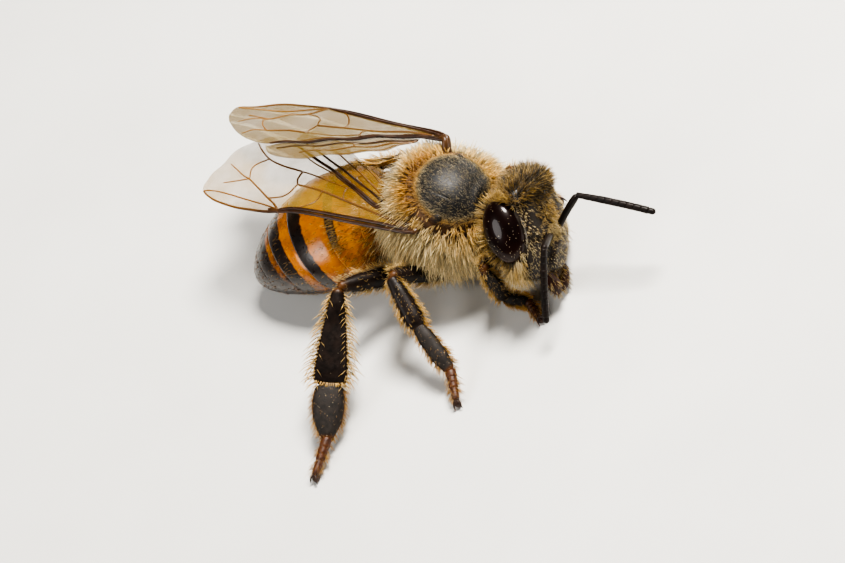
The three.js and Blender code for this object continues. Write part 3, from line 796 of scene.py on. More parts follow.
def make_ocelli():
    shape = Shape()
    for y, z in OCELLI:
        row = head_local[np.argmin(np.abs(head_local[:, 0, 2] - z))]
        on_face = row[np.argmin(np.abs(row[:, 1] - y) + 10 * (row[:, 0] < 0))]
        shape.rings(from_head(polar_grid(16, 24) * OCELLUS_RADIUS + on_face))
    piece("ocelli", shape, OCELLUS)


# ---- abdomen


def abdomen_point(t, phi, out=0.0):
    """Points on the abdomen: t along its axis, phi round it from the bee's left over the top."""
    a, b, c = (np.array(p) for p in ABDOMEN_AXIS)
    t = np.clip(t, 0.002, 0.998)[..., None]
    centre = (1 - t) ** 2 * a + 2 * t * (1 - t) * b + t ** 2 * c
    axis = unit(2 * (1 - t) * (b - a) + 2 * t * (c - b))
    across = unit(np.cross((0.0, 0.0, 1.0), axis))
    up = np.cross(axis, across)
    full = np.maximum(np.sin(pi * t ** 0.84), 0) ** 0.55
    w = ABDOMEN_HALF[0] * full + np.expand_dims(out, -1)
    h = ABDOMEN_HALF[1] * full + np.expand_dims(out, -1)
    return centre + w * np.cos(phi)[..., None] * across + h * np.sin(phi)[..., None] * up


def slope(t, phi):
    """Plate edges lie further forward on the flanks than on the back."""
    return -0.085 * (1 - np.sin(phi)) * np.sin(pi * clamp(t)) * smooth(np.sin(phi), -1.4, 0.2)


# how much of each plate its dark hind band takes, and whether the band is two side spots
PLATE_BANDS = {1: (0.0, False), 2: (0.32, True), 3: (0.36, False), 4: (0.5, False), 5: (0.62, False), 6: (1.2, False)}


PLATE_TUCK = 0.025  # how far a plate's front goes under the plate before it, along the axis
PLATE_LIP, PLATE_THICK = 0.03, 0.075  # mm


def make_abdomen():
    """Six overlapping plates, each with its dark hind band, and each one's outer grid."""
    surfaces = []
    phi = circle(200)[None, :]
    v = np.linspace(0, 1, 34)[:, None]
    back, top = smooth(np.sin(phi), -0.32, -0.22), smooth(np.sin(phi), -0.5, 0.3)
    for number, (first, last) in enumerate(zip(ABDOMEN_ENDS, ABDOMEN_ENDS[1:]), 1):
        tuck = PLATE_TUCK if number > 1 else 0.0
        t = (first - tuck) + (last - first + tuck) * v + 0 * phi
        t = t + slope(t, phi)
        if number == 6:
            t = np.minimum(t, 0.997)
        rise = -0.05 * (1 - smooth(v, 0.0, 0.3)) * (number > 1) + 0.03 * smooth(v, 0.1, 1.0)
        out = rise - 0.035 * (1 - back)
        outer = abdomen_point(t, phi + 0 * v, out)
        turned = abdomen_point(t[-1:] - 0.004, phi, out[-1:] - PLATE_LIP)
        inner = abdomen_point(t[::-4] - 0.01, phi + 0 * t[::-4], out[::-4] - PLATE_THICK)
        width, spots = PLATE_BANDS[number]
        reach = (v - (1 - width)) / max(width, 0.01)
        if spots:
            side_spot = bell(phi - radians(66), 0.42) + bell(phi - radians(114), 0.42)
            band = smooth(reach, 0.1, 0.4) * clamp(side_spot * 1.7)
        else:
            band = smooth(reach, -0.1, 0.3) * (0.6 + 0.4 * top) * (width > 0)
        # painted shade: each plate darkens towards the underside, more on the rear plates; plates 5 and 6 are also
        # darker in their own colour
        low = 0.13 * number - 0.22
        soot = (1 - smooth(np.sin(phi), low - 0.5, low + 0.35)) * 0.85 + 0.5 * (number >= 5)
        marks = {}
        for key, value in (("band", band), ("soot", np.clip(soot, 0, 1.2))):
            value = np.broadcast_to(value, t.shape)
            marks[key] = np.concatenate([value, value[-1:], value[::-4]])
        shape = Shape().rings(np.concatenate([outer, turned, inner]), **marks)
        piece(f"abdomen_plate_{number}", shape, AMBER,
              (f"abdomen_{number}",))
        surfaces.append((outer, phi))
    return surfaces


# ---- antennae and mouth


FEELER_JOINTS, FEELER_FIRST = 11, 0.09  # how many joints the outer part has, and how much of it the first one is
FEELER_GIRTH, FEELER_SAG = 0.09, 0.05  # mm
SOCKET = [0.1, 0.1, 0.12, 0.13, 0.13, 0.11, 0.09, 0.07]
SCAPE = [(0, 0.07, 0.07), (0.15, 0.1, 0.1), (0.8, 0.115, 0.115), (1, 0.1, 0.1)]


def make_antennae():
    """A stalk and eleven short joints each, the last one rounded off."""
    ends = np.concatenate([[0.0], np.linspace(FEELER_FIRST, 1, FEELER_JOINTS)])
    s = np.linspace(0, 1, 12)
    for side, (root, elbow, tip) in ANTENNAE.items():
        root, elbow, tip = map(np.array, (root, elbow, tip))
        inward = from_head((0.66, 0.24 if side == "left" else -0.24, -0.25))
        socket = bezier([inward, inward * 0.4 + root * 0.6, root], 8)
        shape = Shape().rings(tube(socket, SOCKET, 20))
        shape.rings(limb(root, elbow, SCAPE, (0.1, 0.2, 1), 40, 24, bow=0.03)[0])
        reach = np.linalg.norm(tip - elbow)
        way = (tip - elbow) / reach
        sag = unit(np.cross(way, np.cross((0.0, 0.0, 1.0), way)))
        for n, (near, far) in enumerate(zip(ends, ends[1:])):
            along = near + (far - near) * s
            line = elbow + way * (reach * along)[:, None]
            line = line + sag * (FEELER_SAG * 4 * along * (1 - along))[:, None]
            last = n == FEELER_JOINTS - 1
            girth = FEELER_GIRTH + 0.02 * min(n, 3) / 3 - (0.012 if last else 0)
            swell = girth * (0.93 + 0.07 * smooth(s, 0.0, 0.15)) * (1 - 0.08 * smooth(s, 0.9, 1.0))
            if last:
                swell = swell * np.sqrt(np.clip(1 - (clamp(s - 0.55) / 0.45) ** 2, 0.01, 1))
            shape.rings(tube(line, swell, 20))
        piece(f"antenna_{side}", shape, SHELL, (f"scape_{side}", f"flagellum_{side}"))


JAW_LINE = ((0.34, 0.54, -1.2), (0.5, 0.36, -1.76), (0.5, 0.04, -2.13))  # of the left one, in the head's frame
JAW_STOPS, JAW_HALF = [0, 0.15, 0.5, 0.8, 1], [0.2, 0.28, 0.29, 0.23, 0.07]
LIP_AT, LIP_HALF = (0.5, 0, -1.48), (0.1, 0.42, 0.24)
TONGUE_LINE = ((0.1, 0.16, -1.3), (0.12, 0.12, -1.75), (0.0, 0.05, -1.98))


def make_mouth():
    """Mandibles, upper lip and the sheaths of the tongue; the first three carry hair."""
    surfaces, mouth = [], Shape()
    for side, name in ((1, "left"), (-1, "right")):
        line = from_head(bezier(np.array(JAW_LINE) * (1, side, 1), 24))
        wide = np.interp(np.linspace(0, 1, 24), JAW_STOPS, JAW_HALF)
        surfaces.append(tube(line, wide, 24, 0.55, HEAD_TURN[:, 0]))
        piece(f"mandible_shell_{name}", Shape().rings(surfaces[-1]), JAW, (f"mandible_{name}",))
    surfaces.append(from_head(polar_grid(20, 36) * LIP_HALF + LIP_AT))
    mouth.rings(surfaces[-1])
    for side in (1, -1):
        sheath = bezier(np.array(TONGUE_LINE) * (1, side, 1), 14)
        mouth.rings(tube(from_head(sheath), np.linspace(0.14, 0.05, 14), 16, 0.6))
    piece("mouthparts", mouth, JAW)
    return surfaces


# ---- legs

# along each joint: (how far along, half width, half thickness), mm
COXA = [(0, 0.26, 0.24), (0.5, 0.34, 0.3), (1, 0.22, 0.2)]
TROCHANTER = [(0, 0.16, 0.15), (0.5, 0.21, 0.19), (1, 0.17, 0.16)]
PROFILES = {
    "front": {
        "femur": [(0, 0.17, 0.16), (0.3, 0.27, 0.24), (0.7, 0.25, 0.22), (1, 0.15, 0.15)],
        "tibia": [(0, 0.14, 0.14), (0.5, 0.22, 0.19), (1, 0.19, 0.17)],
        "basitarsus": [(0, 0.13, 0.12), (0.4, 0.19, 0.16), (1, 0.14, 0.13)],
    },
    "mid": {
        "femur": [(0, 0.17, 0.16), (0.35, 0.28, 0.24), (0.75, 0.25, 0.21), (1, 0.15, 0.15)],
        "tibia": [(0, 0.15, 0.14), (0.3, 0.25, 0.2), (0.8, 0.31, 0.23), (1, 0.25, 0.19)],
        "basitarsus": [(0, 0.16, 0.12), (0.25, 0.26, 0.18), (0.7, 0.27, 0.18), (1, 0.16, 0.13)],
    },
    "hind": {
        "femur": [(0, 0.17, 0.15), (0.35, 0.3, 0.23), (0.75, 0.26, 0.2), (1, 0.15, 0.14)],
        "tibia": [(0, 0.14, 0.13), (0.12, 0.24, 0.16), (0.5, 0.42, 0.2), (0.82, 0.53, 0.22), (0.94, 0.51, 0.2),
                  (1, 0.42, 0.16)],
        "basitarsus": [(0, 0.32, 0.14), (0.12, 0.45, 0.17), (0.35, 0.51, 0.19), (0.65, 0.46, 0.18),
                       (0.88, 0.28, 0.16), (1, 0.17, 0.12)],
    },
}


def leg_facing(name):
    """Where the outer face of a leg looks."""
    return OUTWARD * (1, 1 if name.endswith("right") else -1, 1)


def make_leg(name):
    """One leg's pieces, and the grids that its hair grows on."""
    pair = name.split("_")[0]
    coxa, trochanter, knee, ankle, heel, foot = (np.array(p, float) for p in LEGS[name])
    facing, profile, hind = leg_facing(name), PROFILES[pair], pair == "hind"
    leg, surfaces = Shape(), {}
    surfaces["coxa"], _, _ = limb(coxa, trochanter, COXA, facing, 28, 36)
    leg.rings(surfaces["coxa"], warm=0.1)
    way = unit(knee - trochanter)
    joint, _, _ = limb(trochanter - way * 0.08, trochanter + way * 0.32, TROCHANTER, facing, 18, 32)
    leg.rings(joint, warm=0.25)
    surfaces["femur"], t, _ = limb(trochanter, knee, profile["femur"], facing, 44, 40, start=0.16, end=-0.03,
                                   bow=0.04)
    leg.rings(surfaces["femur"], warm=(0.5 * smooth(t, 0.86, 1.0))[:, None])
    surfaces["tibia"], t, phi = limb(knee, ankle, profile["tibia"], facing, 64, 64, start=0.02, end=-0.02,
                                     hollow=0.09 * hind, square=0.15)
    edge = (np.abs(np.cos(phi)) > 0.93)[None] * smooth(t, 0.05, 0.15)[:, None] * (0.75 * hind)
    leg.rings(surfaces["tibia"], edge=edge,
              warm=(0.4 * smooth(t, 0.95, 0.99) + 0.4 * (1 - smooth(t, 0.0, 0.07)))[:, None])
    piece(f"leg_{name}", leg, SHELL, tuple(f"{name}_{part}" for part in ("coxa", "femur", "tibia")))
    surfaces["basitarsus"], t, phi = limb(ankle, heel, profile["basitarsus"], facing, 48, 56, start=-0.12,
                                          square=0.15)
    shape = Shape().rings(surfaces["basitarsus"], edge=(np.abs(np.cos(phi)) > 0.95)[None] * 0.5,
                          warm=(0.7 * smooth(t, 0.9, 1.0) + 0.6 * (1 - smooth(t, 0.0, 0.06)))[:, None])
    piece(f"basitarsus_{name}", shape, BASI, (f"{name}_basitarsus",))
    surfaces["tarsus"] = make_foot(name, heel, foot, facing)
    return surfaces


FOOT_STOPS = (0.0, 0.17, 0.33, 0.48, 0.86)  # where the four joints of a foot begin and end
FOOT_WIDE, FOOT_NARROWS = 0.17, 0.014  # half width of its first joint, and how much narrower each one is, mm
CUP = ((0, 0.9, 0.8), (0.75, 1, 0.85), (1, 0.97, 0.82))  # times the half width
CLAW_JOINT = ((0, 0.85, 0.75), (0.7, 0.95, 0.9), (1, 0.85, 0.8))
CLAW = ((0, 0, 0), (0.1, 0.07, 0.04), (0.19, 0.11, -0.02), (0.22, 0.12, -0.12))  # ahead, out and up, mm
CLAW_LOWEST = 0.035


def make_foot(name, heel, foot, facing):
    """Three short cups, the long claw joint, two claws and the pad between them."""
    shape = Shape()
    way, length = unit(foot - heel), np.linalg.norm(foot - heel)
    for n in range(4):
        last = n == 3
        wide = FOOT_WIDE - FOOT_NARROWS * n
        a = heel + way * length * (FOOT_STOPS[n] - 0.1)
        b = heel + way * length * (FOOT_STOPS[n + 1] + (0.03 if last else 0.08))
        profile = [(t, wide * w, wide * h) for t, w, h in (CLAW_JOINT if last else CUP)]
        rings, t, _ = limb(a, b, profile, facing, 22, 24)
        shape.rings(rings, dark=(0.35 * last * smooth(t, 0.4, 1.0))[:, None])
    end = heel + way * length * FOOT_STOPS[4]
    level = unit(np.cross(way, (0, 0, 1.0)))
    for side in (1, -1):
        line = bezier([end + way * ahead + level * side * out + (0, 0, up) for ahead, out, up in CLAW], 14)
        line[:, 2] = np.maximum(line[:, 2], CLAW_LOWEST)
        shape.rings(tube(line, np.interp(np.linspace(0, 1, 14), [0, 0.4, 1], [0.05, 0.034, 0.008])), dark=0.8)
    centre = end + way * 0.06
    centre[2] = max(0.075, end[2] * 0.55)
    shape.rings(centre + polar_grid(14, 20) * (0.11, 0.11, centre[2] * 0.93), dark=0.7)
    piece(f"foot_{name}", shape, FOOT, (f"{name}_tarsus",))
    return limb(heel, end, [(0, 0.14, 0.11), (1, 0.11, 0.09)], facing, 22, 24)[0]


# ---- wings


def wing_axes(side):
    w = WINGS[side]
    root, tip = np.array(w["root"]), np.array(w["tip"])
    along = unit(tip - root)
    inward = np.array([0, 1.0 if side == "right" else -1.0, 0])
    inward = unit(inward - along * (inward @ along))
    up = np.cross(along, inward)
    up = up if up[2] > 0 else -up
    tilt = radians(w["tilt"])
    return root, along, inward * cos(tilt) + up * sin(tilt), up * cos(tilt) - inward * sin(tilt)


STIGMA, STIGMA_HALF = (0.585, -0.4), (0.38, 0.075, 0.035)  # the dark spot at the leading edge
STALKS, STALK_DEEP = (-0.08, 0.03), 1.4  # what carries a wing: where across its root, and how far from THORAX, mm
FILM, HIND_DROP, VEIN_GIRTH = 0.02, 0.06, 1.4  # mm thick, mm under the forewing, times the half widths below
# Wing lines: x is a fraction of the wing's length from root to tip, y is millimetres inward from the root-tip line.
LEADING = [(0.0, -0.1), (0.04, -0.22), (0.13, -0.27), (0.34, -0.33), (0.5, -0.37), (0.6, -0.47), (0.7, -0.48),
           (0.8, -0.45), (0.9, -0.28), (0.97, -0.08), (1.01, 0.12)]
OUTER = [(1.01, 0.12), (1.02, 0.4), (1.0, 0.9), (0.96, 1.4), (0.9, 1.85), (0.82, 2.15), (0.74, 2.2), (0.67, 2.04)]
REAR = [(0.67, 2.04), (0.56, 1.7), (0.41, 1.24), (0.3, 0.86), (0.2, 0.49), (0.1, 0.2), (0.0, 0.06)]
HIND_FRONT = [(0.1, 0.22), (0.2, 0.42), (0.3, 0.78), (0.41, 1.15), (0.52, 1.52), (0.62, 1.85), (0.68, 2.15)]
HIND_REAR = [(0.1, 0.35), (0.2, 1.2), (0.33, 1.75), (0.45, 2.25), (0.54, 2.5), (0.62, 2.5), (0.68, 2.15)]
FORE_VEINS = [  # (half width in mm at the start, at the end, points)
    (0.05, 0.035, [(0.0, -0.1), (0.04, -0.21), (0.13, -0.26), (0.34, -0.32), (0.5, -0.36), (0.58, -0.43)]),
    (0.05, 0.04, [(0.0, -0.04), (0.05, -0.1), (0.15, -0.14), (0.34, -0.2), (0.5, -0.26), (0.58, -0.38)]),
    (0.04, 0.02, [(0.58, -0.43), (0.64, -0.48), (0.72, -0.48), (0.8, -0.45), (0.9, -0.28), (0.97, -0.08),
                  (1.005, 0.08)]),
    (0.022, 0.016, [(0.58, -0.38), (0.67, -0.24), (0.8, -0.06), (0.9, 0.06), (0.97, 0.1), (1.005, 0.08)]),
    (0.026, 0.014, [(0.585, -0.36), (0.62, -0.17), (0.66, 0.0), (0.75, 0.4), (0.8, 0.62), (0.84, 0.73), (0.9, 0.98),
                    (0.94, 1.15)]),
    (0.026, 0.014, [(0.56, 1.06), (0.66, 1.17), (0.75, 1.39), (0.81, 1.69), (0.85, 1.95)]),
    (0.018, 0.015, [(0.75, 1.39), (0.79, 1.18), (0.805, 0.95), (0.8, 0.63)]),
    (0.024, 0.02, [(0.56, 1.06), (0.57, 0.8), (0.553, 0.59)]),
    (0.024, 0.03, [(0.553, 0.59), (0.43, 0.5), (0.32, 0.36), (0.16, 0.12), (0.05, -0.02)]),
    (0.02, 0.018, [(0.553, 0.59), (0.566, 0.3), (0.6, 0.1), (0.66, 0.0)]),
    (0.02, 0.018, [(0.43, 0.5), (0.44, 0.2), (0.46, -0.05), (0.5, -0.26)]),
    (0.018, 0.016, [(0.56, 1.06), (0.5, 1.0), (0.4, 0.86), (0.33, 0.74)]),
    (0.018, 0.014, [(0.8, 0.63), (0.86, 0.55), (0.93, 0.45)]),
    (0.018, 0.016, [(0.33, 0.37), (0.335, 0.55), (0.33, 0.74), (0.3, 0.84)]),
    (0.045, 0.03, [(0.0, 0.04), (0.1, 0.2), (0.2, 0.46), (0.3, 0.82), (0.41, 1.2), (0.56, 1.66), (0.67, 2.02)]),
    (0.03, 0.02, [(0.02, 0.0), (0.1, 0.13), (0.2, 0.38), (0.3, 0.74), (0.41, 1.12)]),
    (0.02, 0.012, [(0.41, 1.12), (0.52, 1.4), (0.62, 1.75)]),
]
HIND_VEINS = [
    (0.035, 0.02, [(0.1, 0.3), (0.2, 0.7), (0.3, 1.05), (0.41, 1.42), (0.52, 1.78), (0.62, 2.1)]),
    (0.028, 0.014, [(0.1, 0.33), (0.2, 0.85), (0.3, 1.3), (0.4, 1.7), (0.5, 2.1)]),
    (0.02, 0.014, [(0.3, 1.05), (0.32, 1.2), (0.3, 1.3)]),
    (0.018, 0.012, [(0.11, 0.38), (0.18, 0.95), (0.26, 1.4), (0.36, 1.8)]),
]


def wing_point(side, x, y, lift=0.0, drop=0.0):
    root, along, chord, normal = wing_axes(side)
    x, y = np.asarray(x, float), np.asarray(y, float)
    if side == "left":  # this wing's outer part is made narrower, as a curled wing looks
        y = y * (1 - 0.34 * smooth(x, 0.5, 1.0))
    t = clamp(x)
    z = 4 * WINGS[side]["arch"] * t * (1 - t) + lift - drop
    return root + (x * WING_LENGTH)[..., None] * along + y[..., None] * chord + z[..., None] * normal


def wave(x, y):
    """The fine corrugation of the film, mm."""
    return 0.03 * np.sin(9 * y + 7 * x) * smooth(x, 0.02, 0.2) + 0.025 * np.sin(14 * x - 3 * y)


def film(side, front, rear, rows, columns, drop):
    """A thin closed film between a front line and a rear line, and how far along the wing its points are."""
    front, rear = bezier(front, rows), bezier(rear, rows)
    u = np.linspace(0, 1, columns)[None, :, None]
    x, y = np.moveaxis(front[:, None] * (1 - u) + rear[:, None] * u, -1, 0)
    top, low = (wing_point(side, x, y, wave(x, y) + half, drop) for half in (FILM / 2, -FILM / 2))
    return np.concatenate([top, low[:, ::-1]], 1), np.concatenate([x, x[:, ::-1]], 1)


def make_wings():
    for side in ("right", "left"):
        smoky = 0.8 if side == "left" else 0.0
        rings, x = film(side, LEADING, REAR[::-1] + OUTER[-2::-1], 120, 60, 0.0)
        fore = Shape().rings(rings, smoky=smoky + 0.12 * (1 - smooth(x, 0.0, 0.25)))
        piece(f"forewing_film_{side}", fore, MEMBRANE, (f"forewing_{side}",))
        hind = Shape().rings(film(side, HIND_FRONT, HIND_REAR, 70, 40, HIND_DROP)[0], smoky=smoky)
        piece(f"hindwing_film_{side}", hind, MEMBRANE, (f"hindwing_{side}",))
        veins = Shape()
        _, along, chord, normal = wing_axes(side)
        for drop, lines in ((0.0, FORE_VEINS), (HIND_DROP, HIND_VEINS)):
            for near, far, points in lines:
                x, y = bezier(points, 12 * len(points)).T
                taper = np.linspace(near, far, len(x)) * VEIN_GIRTH
                taper[[0, -1]] *= 0.3
                veins.rings(tube(wing_point(side, x, y, wave(x, y), drop), taper, 8, 0.8, normal),
                            pale=(smooth(x, 0.55, 0.9) * 0.5 + 0.3 * (near < 0.03))[:, None])
        for y in STALKS:
            base = wing_point(side, 0.0, y)
            stalk = bezier([wing_point(side, 0.03, y), base, THORAX + unit(base - THORAX) * STALK_DEEP], 12)
            veins.rings(tube(stalk, np.linspace(0.05, 0.15, 12), 12), pale=0.12)
        stigma = polar_grid(12, 16) * STIGMA_HALF @ np.stack([along, chord, normal])
        veins.rings(wing_point(side, *STIGMA, wave(*STIGMA)) + stigma, pale=0.1)
        piece(f"wing_veins_{side}", veins, VEIN)


# ---- the coat


def flow(n, goal):
    """The part of a goal direction that lies along the skin with normals n."""
    goal = np.asarray(goal, float)
    return unit(goal - n * (goal * n).sum(-1, keepdims=True))


def jitter(rng, count, amount):
    return rng.normal(0, amount, (count, 3))


def tufted(rng, tuft, amount):
    """The same random turn for all hairs of a tuft."""
    return rng.normal(0, amount, (tuft.max() + 1, 3))[tuft]


def near_tegula(p):
    """1 about the wing bases, where the hair is short, and 0 away from them."""
    way = unit(p - THORAX)
    return np.max([bell(angle(way, unit(root)), 0.46) for root in TEGULA_WAY.values()], axis=0)


# how many hairs each coat has, in tufts of how many, how many mm across
THORAX_HAIRS, DISC_HAIRS, HEAD_HAIRS = (22000, 4, 0.05), 7500, (9800, 3, 0.04)
FRINGE_HAIRS, MOUTH_HAIRS, COMB_HAIRS, COMB_INNER, COMB_END = 300, (170, 2, 0.02), 26, {1: 7, -1: 16}, 34
# degrees from the disc's middle, and how long the thorax's hair is there, mm
THORAX_RINGS, THORAX_LENGTHS = [46, 52, 62, 80, 110, 150], [0.22, 0.36, 0.58, 0.8, 0.95, 0.65]


def coat_thorax():
    """Tufts that lie away from the disc and down the flanks, short about the wing bases and on the scutellum."""
    rng = np.random.default_rng(11)
    surface = Surface(thorax_rings)
    ways = unit(surface.p - THORAX)
    lobe = bell(np.degrees(angle(ways, SCUTELLUM)), 13)
    neck = smooth(ways[..., 0], 0.93, 0.97)
    weight = smooth(from_scutum(surface.p), DISC_EDGE, 50) * (1 - 0.85 * lobe) * (1 - 0.9 * neck)
    hairs, per_tuft, spread = THORAX_HAIRS
    p, n, uv, tuft = surface.sow(rng, hairs, weight * (1 - 0.95 * near_tegula(surface.p)), per_tuft, spread)
    count, ring, way, tegula = len(p), from_scutum(p), unit(p - THORAX), near_tegula(p)
    side = smooth(ring, 62, 95)[:, None]
    lay = unit(flow(n, -DISC_UP) * (1 - side) + flow(n, (-0.35, 0, -1.0)) * side)
    stand = (0.95 - 0.3 * smooth(ring, 60, 110))[:, None]
    direction = n * stand + lay * (0.35 + 0.55 * side) + jitter(rng, count, 0.13) + tufted(rng, tuft, 0.2)
    length = np.interp(ring, THORAX_RINGS, THORAX_LENGTHS)
    length = length * rng.uniform(0.7, 1.12, count)
    length = np.where(way[:, 0] > 0.75, length * 0.75, length) * (1 - 0.72 * tegula)
    length = length * (1 + 0.35 * smooth(-way[:, 0], 0.55, 0.85))
    length = length * (1 - 0.45 * bell(np.degrees(angle(way, SCUTELLUM)), 20))
    bend = lay * (0.3 + 0.35 * side) - n * 0.12 + np.array([0, 0, -0.12]) + jitter(rng, count, 0.12)
    tint = clamp(thorax_tint(p) * (1 - 0.6 * tegula) + rng.normal(0, 0.08, count))
    coat = Coat()
    coat.grow(p, direction, bend, length, rng.uniform(0.02, 0.032, count), uv, tint, rng.random(count))
    coat.make("coat_thorax", HAIR, "coat", 5, 4)


def coat_scutum(disc):
    """Fine short pale hairs on the bald disc."""
    rng = np.random.default_rng(12)
    surface = Surface(disc, THORAX)
    p, n, uv, _ = surface.sow(rng, DISC_HAIRS, 0.25 + 1.6 * smooth(from_scutum(surface.p), 33, 46))
    count, ring = len(p), from_scutum(p)
    direction = n * 0.55 + flow(n, -DISC_AHEAD) * 0.7 + jitter(rng, count, 0.22)
    length = rng.uniform(0.05, 0.1, count) + 0.16 * smooth(ring, 40, 46) * rng.random(count)
    tint = clamp(0.04 + 0.55 * smooth(ring, 38, 46) + rng.normal(0, 0.08, count))
    coat = Coat()
    coat.grow(p, direction, -n * 0.1 + jitter(rng, count, 0.05), length, rng.uniform(0.0045, 0.0075, count), uv, tint,
              rng.random(count) * 0.8)
    coat.make("coat_scutum", HAIR, "coat", 2)


def eye_distance(local):
    """How far points of the head's frame are from the nearer eye: 1 is its surface."""
    own = [(local - EYE_SHOWN_AT * np.array([1, side, 1])) @ eye_turn(side) for side in (1, -1)]
    return np.minimum(*(np.sqrt(((q / EYE_SHOWN_HALF) ** 2).sum(-1)) for q in own))


def coat_head():
    """Dark hair on the crown, golden on the cheeks, round the eyes and on the brow, and little on the face."""
    rng = np.random.default_rng(21)
    x, y, z = head_local[..., 0], head_local[..., 1], head_local[..., 2]
    face, near_eye = smooth(x, 0.05, 0.4), eye_distance(head_local)
    fringe = bell(near_eye - 1.12, 0.16) * (1 - face)
    bare_frons = face * bell(np.abs(y) - 0.82, 0.27) * bell(z - 0.35, 0.7)
    clypeus = face * smooth(1 - (y / 0.55) ** 2 - ((z + 0.98) / 0.5) ** 2, 0, 0.4)
    nape = smooth(-x, 0.3, 0.45) * bell(np.hypot(y, z), 0.6)
    tuft = face * bell(y, 0.3) * bell(z + 0.2, 0.3)
    cheeks = (1 - face) * smooth(-z, -0.2, 0.5)
    middle = face * bell(y, 0.6) * smooth(z, -0.2, 0.2)
    weight = 0.2 + 0.4 * smooth(z, 0.7, 1.1) + 1.5 * fringe + 1.3 * tuft + 0.25 * cheeks + 0.25 * middle
    weight = weight * smooth(near_eye, 0.97, 1.02)
    weight = weight * (1 - np.where(y > 0, 0.15, 0.95) * bare_frons) * (1 - 0.3 * clypeus) * (1 - 0.9 * nape)
    weight = weight * (1 - 0.5 * (1 - face) * smooth(-z, 0.5, 0.9)) * smooth(z, -1.5, -1.2)
    hairs, per_tuft, spread = HEAD_HAIRS
    p, n, uv, tuft = Surface(head_rings).sow(rng, hairs, weight, per_tuft, spread)
    count, local = len(p), (p - HEAD) @ HEAD_TURN
    lx, ly, lz = local.T
    vertex, front = smooth(lz, 0.8, 1.25), smooth(lx, 0.1, 0.4)
    cheek = (1 - front) * (1 - vertex)
    rim = bell(eye_distance(local) - 1.1, 0.2) * cheek
    brow = front * bell(ly, 0.32) * bell(lz + 0.15, 0.32)
    chinward = flow(n, -HEAD_TURN[:, 2])
    from_eye = flow(n, np.where(ly[:, None] > 0, *(unit(p - eye_point(side)) for side in (1, -1))))
    v, f, c, r = (a[:, None] for a in (vertex, front, cheek, rim))
    direction = (n * (0.8 + 0.3 * v) + chinward * 0.4 * (1 - v) * f + from_eye * (0.6 + 0.5 * r) * c
                 + jitter(rng, count, 0.16) + tufted(rng, tuft, 0.16))
    length = 0.1 + 0.29 * vertex + (0.2 + 0.13 * smooth(-lz, -0.3, 0.5)) * cheek + 0.2 * rim + 0.11 * brow
    length = length * rng.uniform(0.6, 1.15, count) * (1 - 0.4 * front * smooth(-lz, 0.4, 0.8))
    bend = chinward * 0.22 * (1 - v) + jitter(rng, count, 0.07)
    tint = head_hair_tint(local) + (0.27 + 0.15 * smooth(lz, -0.8, 0.4)) * cheek
    tint = tint * (1 - 0.7 * brow)
    golden = rng.random(count) < 0.2
    tint = clamp(np.where(golden, np.minimum(tint, 0.5), tint) + rng.normal(0, 0.1, count))
    width = rng.uniform(0.012, 0.018, count) * (1 + 0.4 * cheek - 0.1 * front * (1 - vertex))
    coat = Coat()
    coat.grow(p, direction, bend, length, width, uv, tint, rng.random(count))
    eye_fringe(rng, coat)
    coat.make("coat_head", FACE_HAIR, "face", 3, 2)


def eye_fringe(rng, coat):
    """Rays of golden hair round the back, top and bottom of each eye."""
    count, skin = FRINGE_HAIRS, head_local.reshape(-1, 3)
    for side in (1, -1):
        around = np.radians(rng.uniform(62, 292, count))
        ray = np.stack([np.cos(around), 0 * around, np.sin(around)], -1)
        inset = rng.uniform(0.1, 0.3, count)[:, None] * (0, -1, 0)
        local = eye_to_head((ray * 0.97 + inset) * EYE_SHOWN_HALF * (1, side, 1), side)
        out = unit(ray / EYE_SHOWN_HALF) * 0.9 + np.array([0, side * 0.5, 0])
        way = (out @ eye_turn(side).T) @ HEAD_TURN.T + jitter(rng, count, 0.12)
        row, column = np.divmod([((skin - q) ** 2).sum(-1).argmin() for q in local], HEAD_SIDES)
        uv = np.stack([column / HEAD_SIDES, row / (HEAD_ROWS - 1)], -1)
        tint = clamp(0.5 + rng.normal(0, 0.15, count))
        coat.grow(from_head(local), way, jitter(rng, count, 0.08), rng.uniform(0.28, 0.5, count),
                  rng.uniform(0.019, 0.028, count), uv, tint, 0.3 + 0.7 * rng.random(count))


def coat_mouth(surfaces):
    """Short golden hairs on the mandibles and the upper lip."""
    rng = np.random.default_rng(22)
    coat = Coat()
    hairs, per_tuft, spread = MOUTH_HAIRS
    for number, rings in enumerate(surfaces):
        p, n, uv, _ = Surface(rings).sow(rng, hairs, 1, per_tuft, spread)
        count = len(p)
        direction = n * 0.6 - HEAD_TURN[:, 2] * 0.7 + jitter(rng, count, 0.15)
        coat.grow(p, direction, jitter(rng, count, 0.08) - HEAD_TURN[:, 2] * 0.1, rng.uniform(0.09, 0.2, count),
                  rng.uniform(0.011, 0.017, count), uv * (1, 0.3) + (0, 0.33 * number),
                  rng.uniform(0.15, 0.6, count), rng.random(count))
    coat.make("coat_mouth", FACE_HAIR, "face", 3)


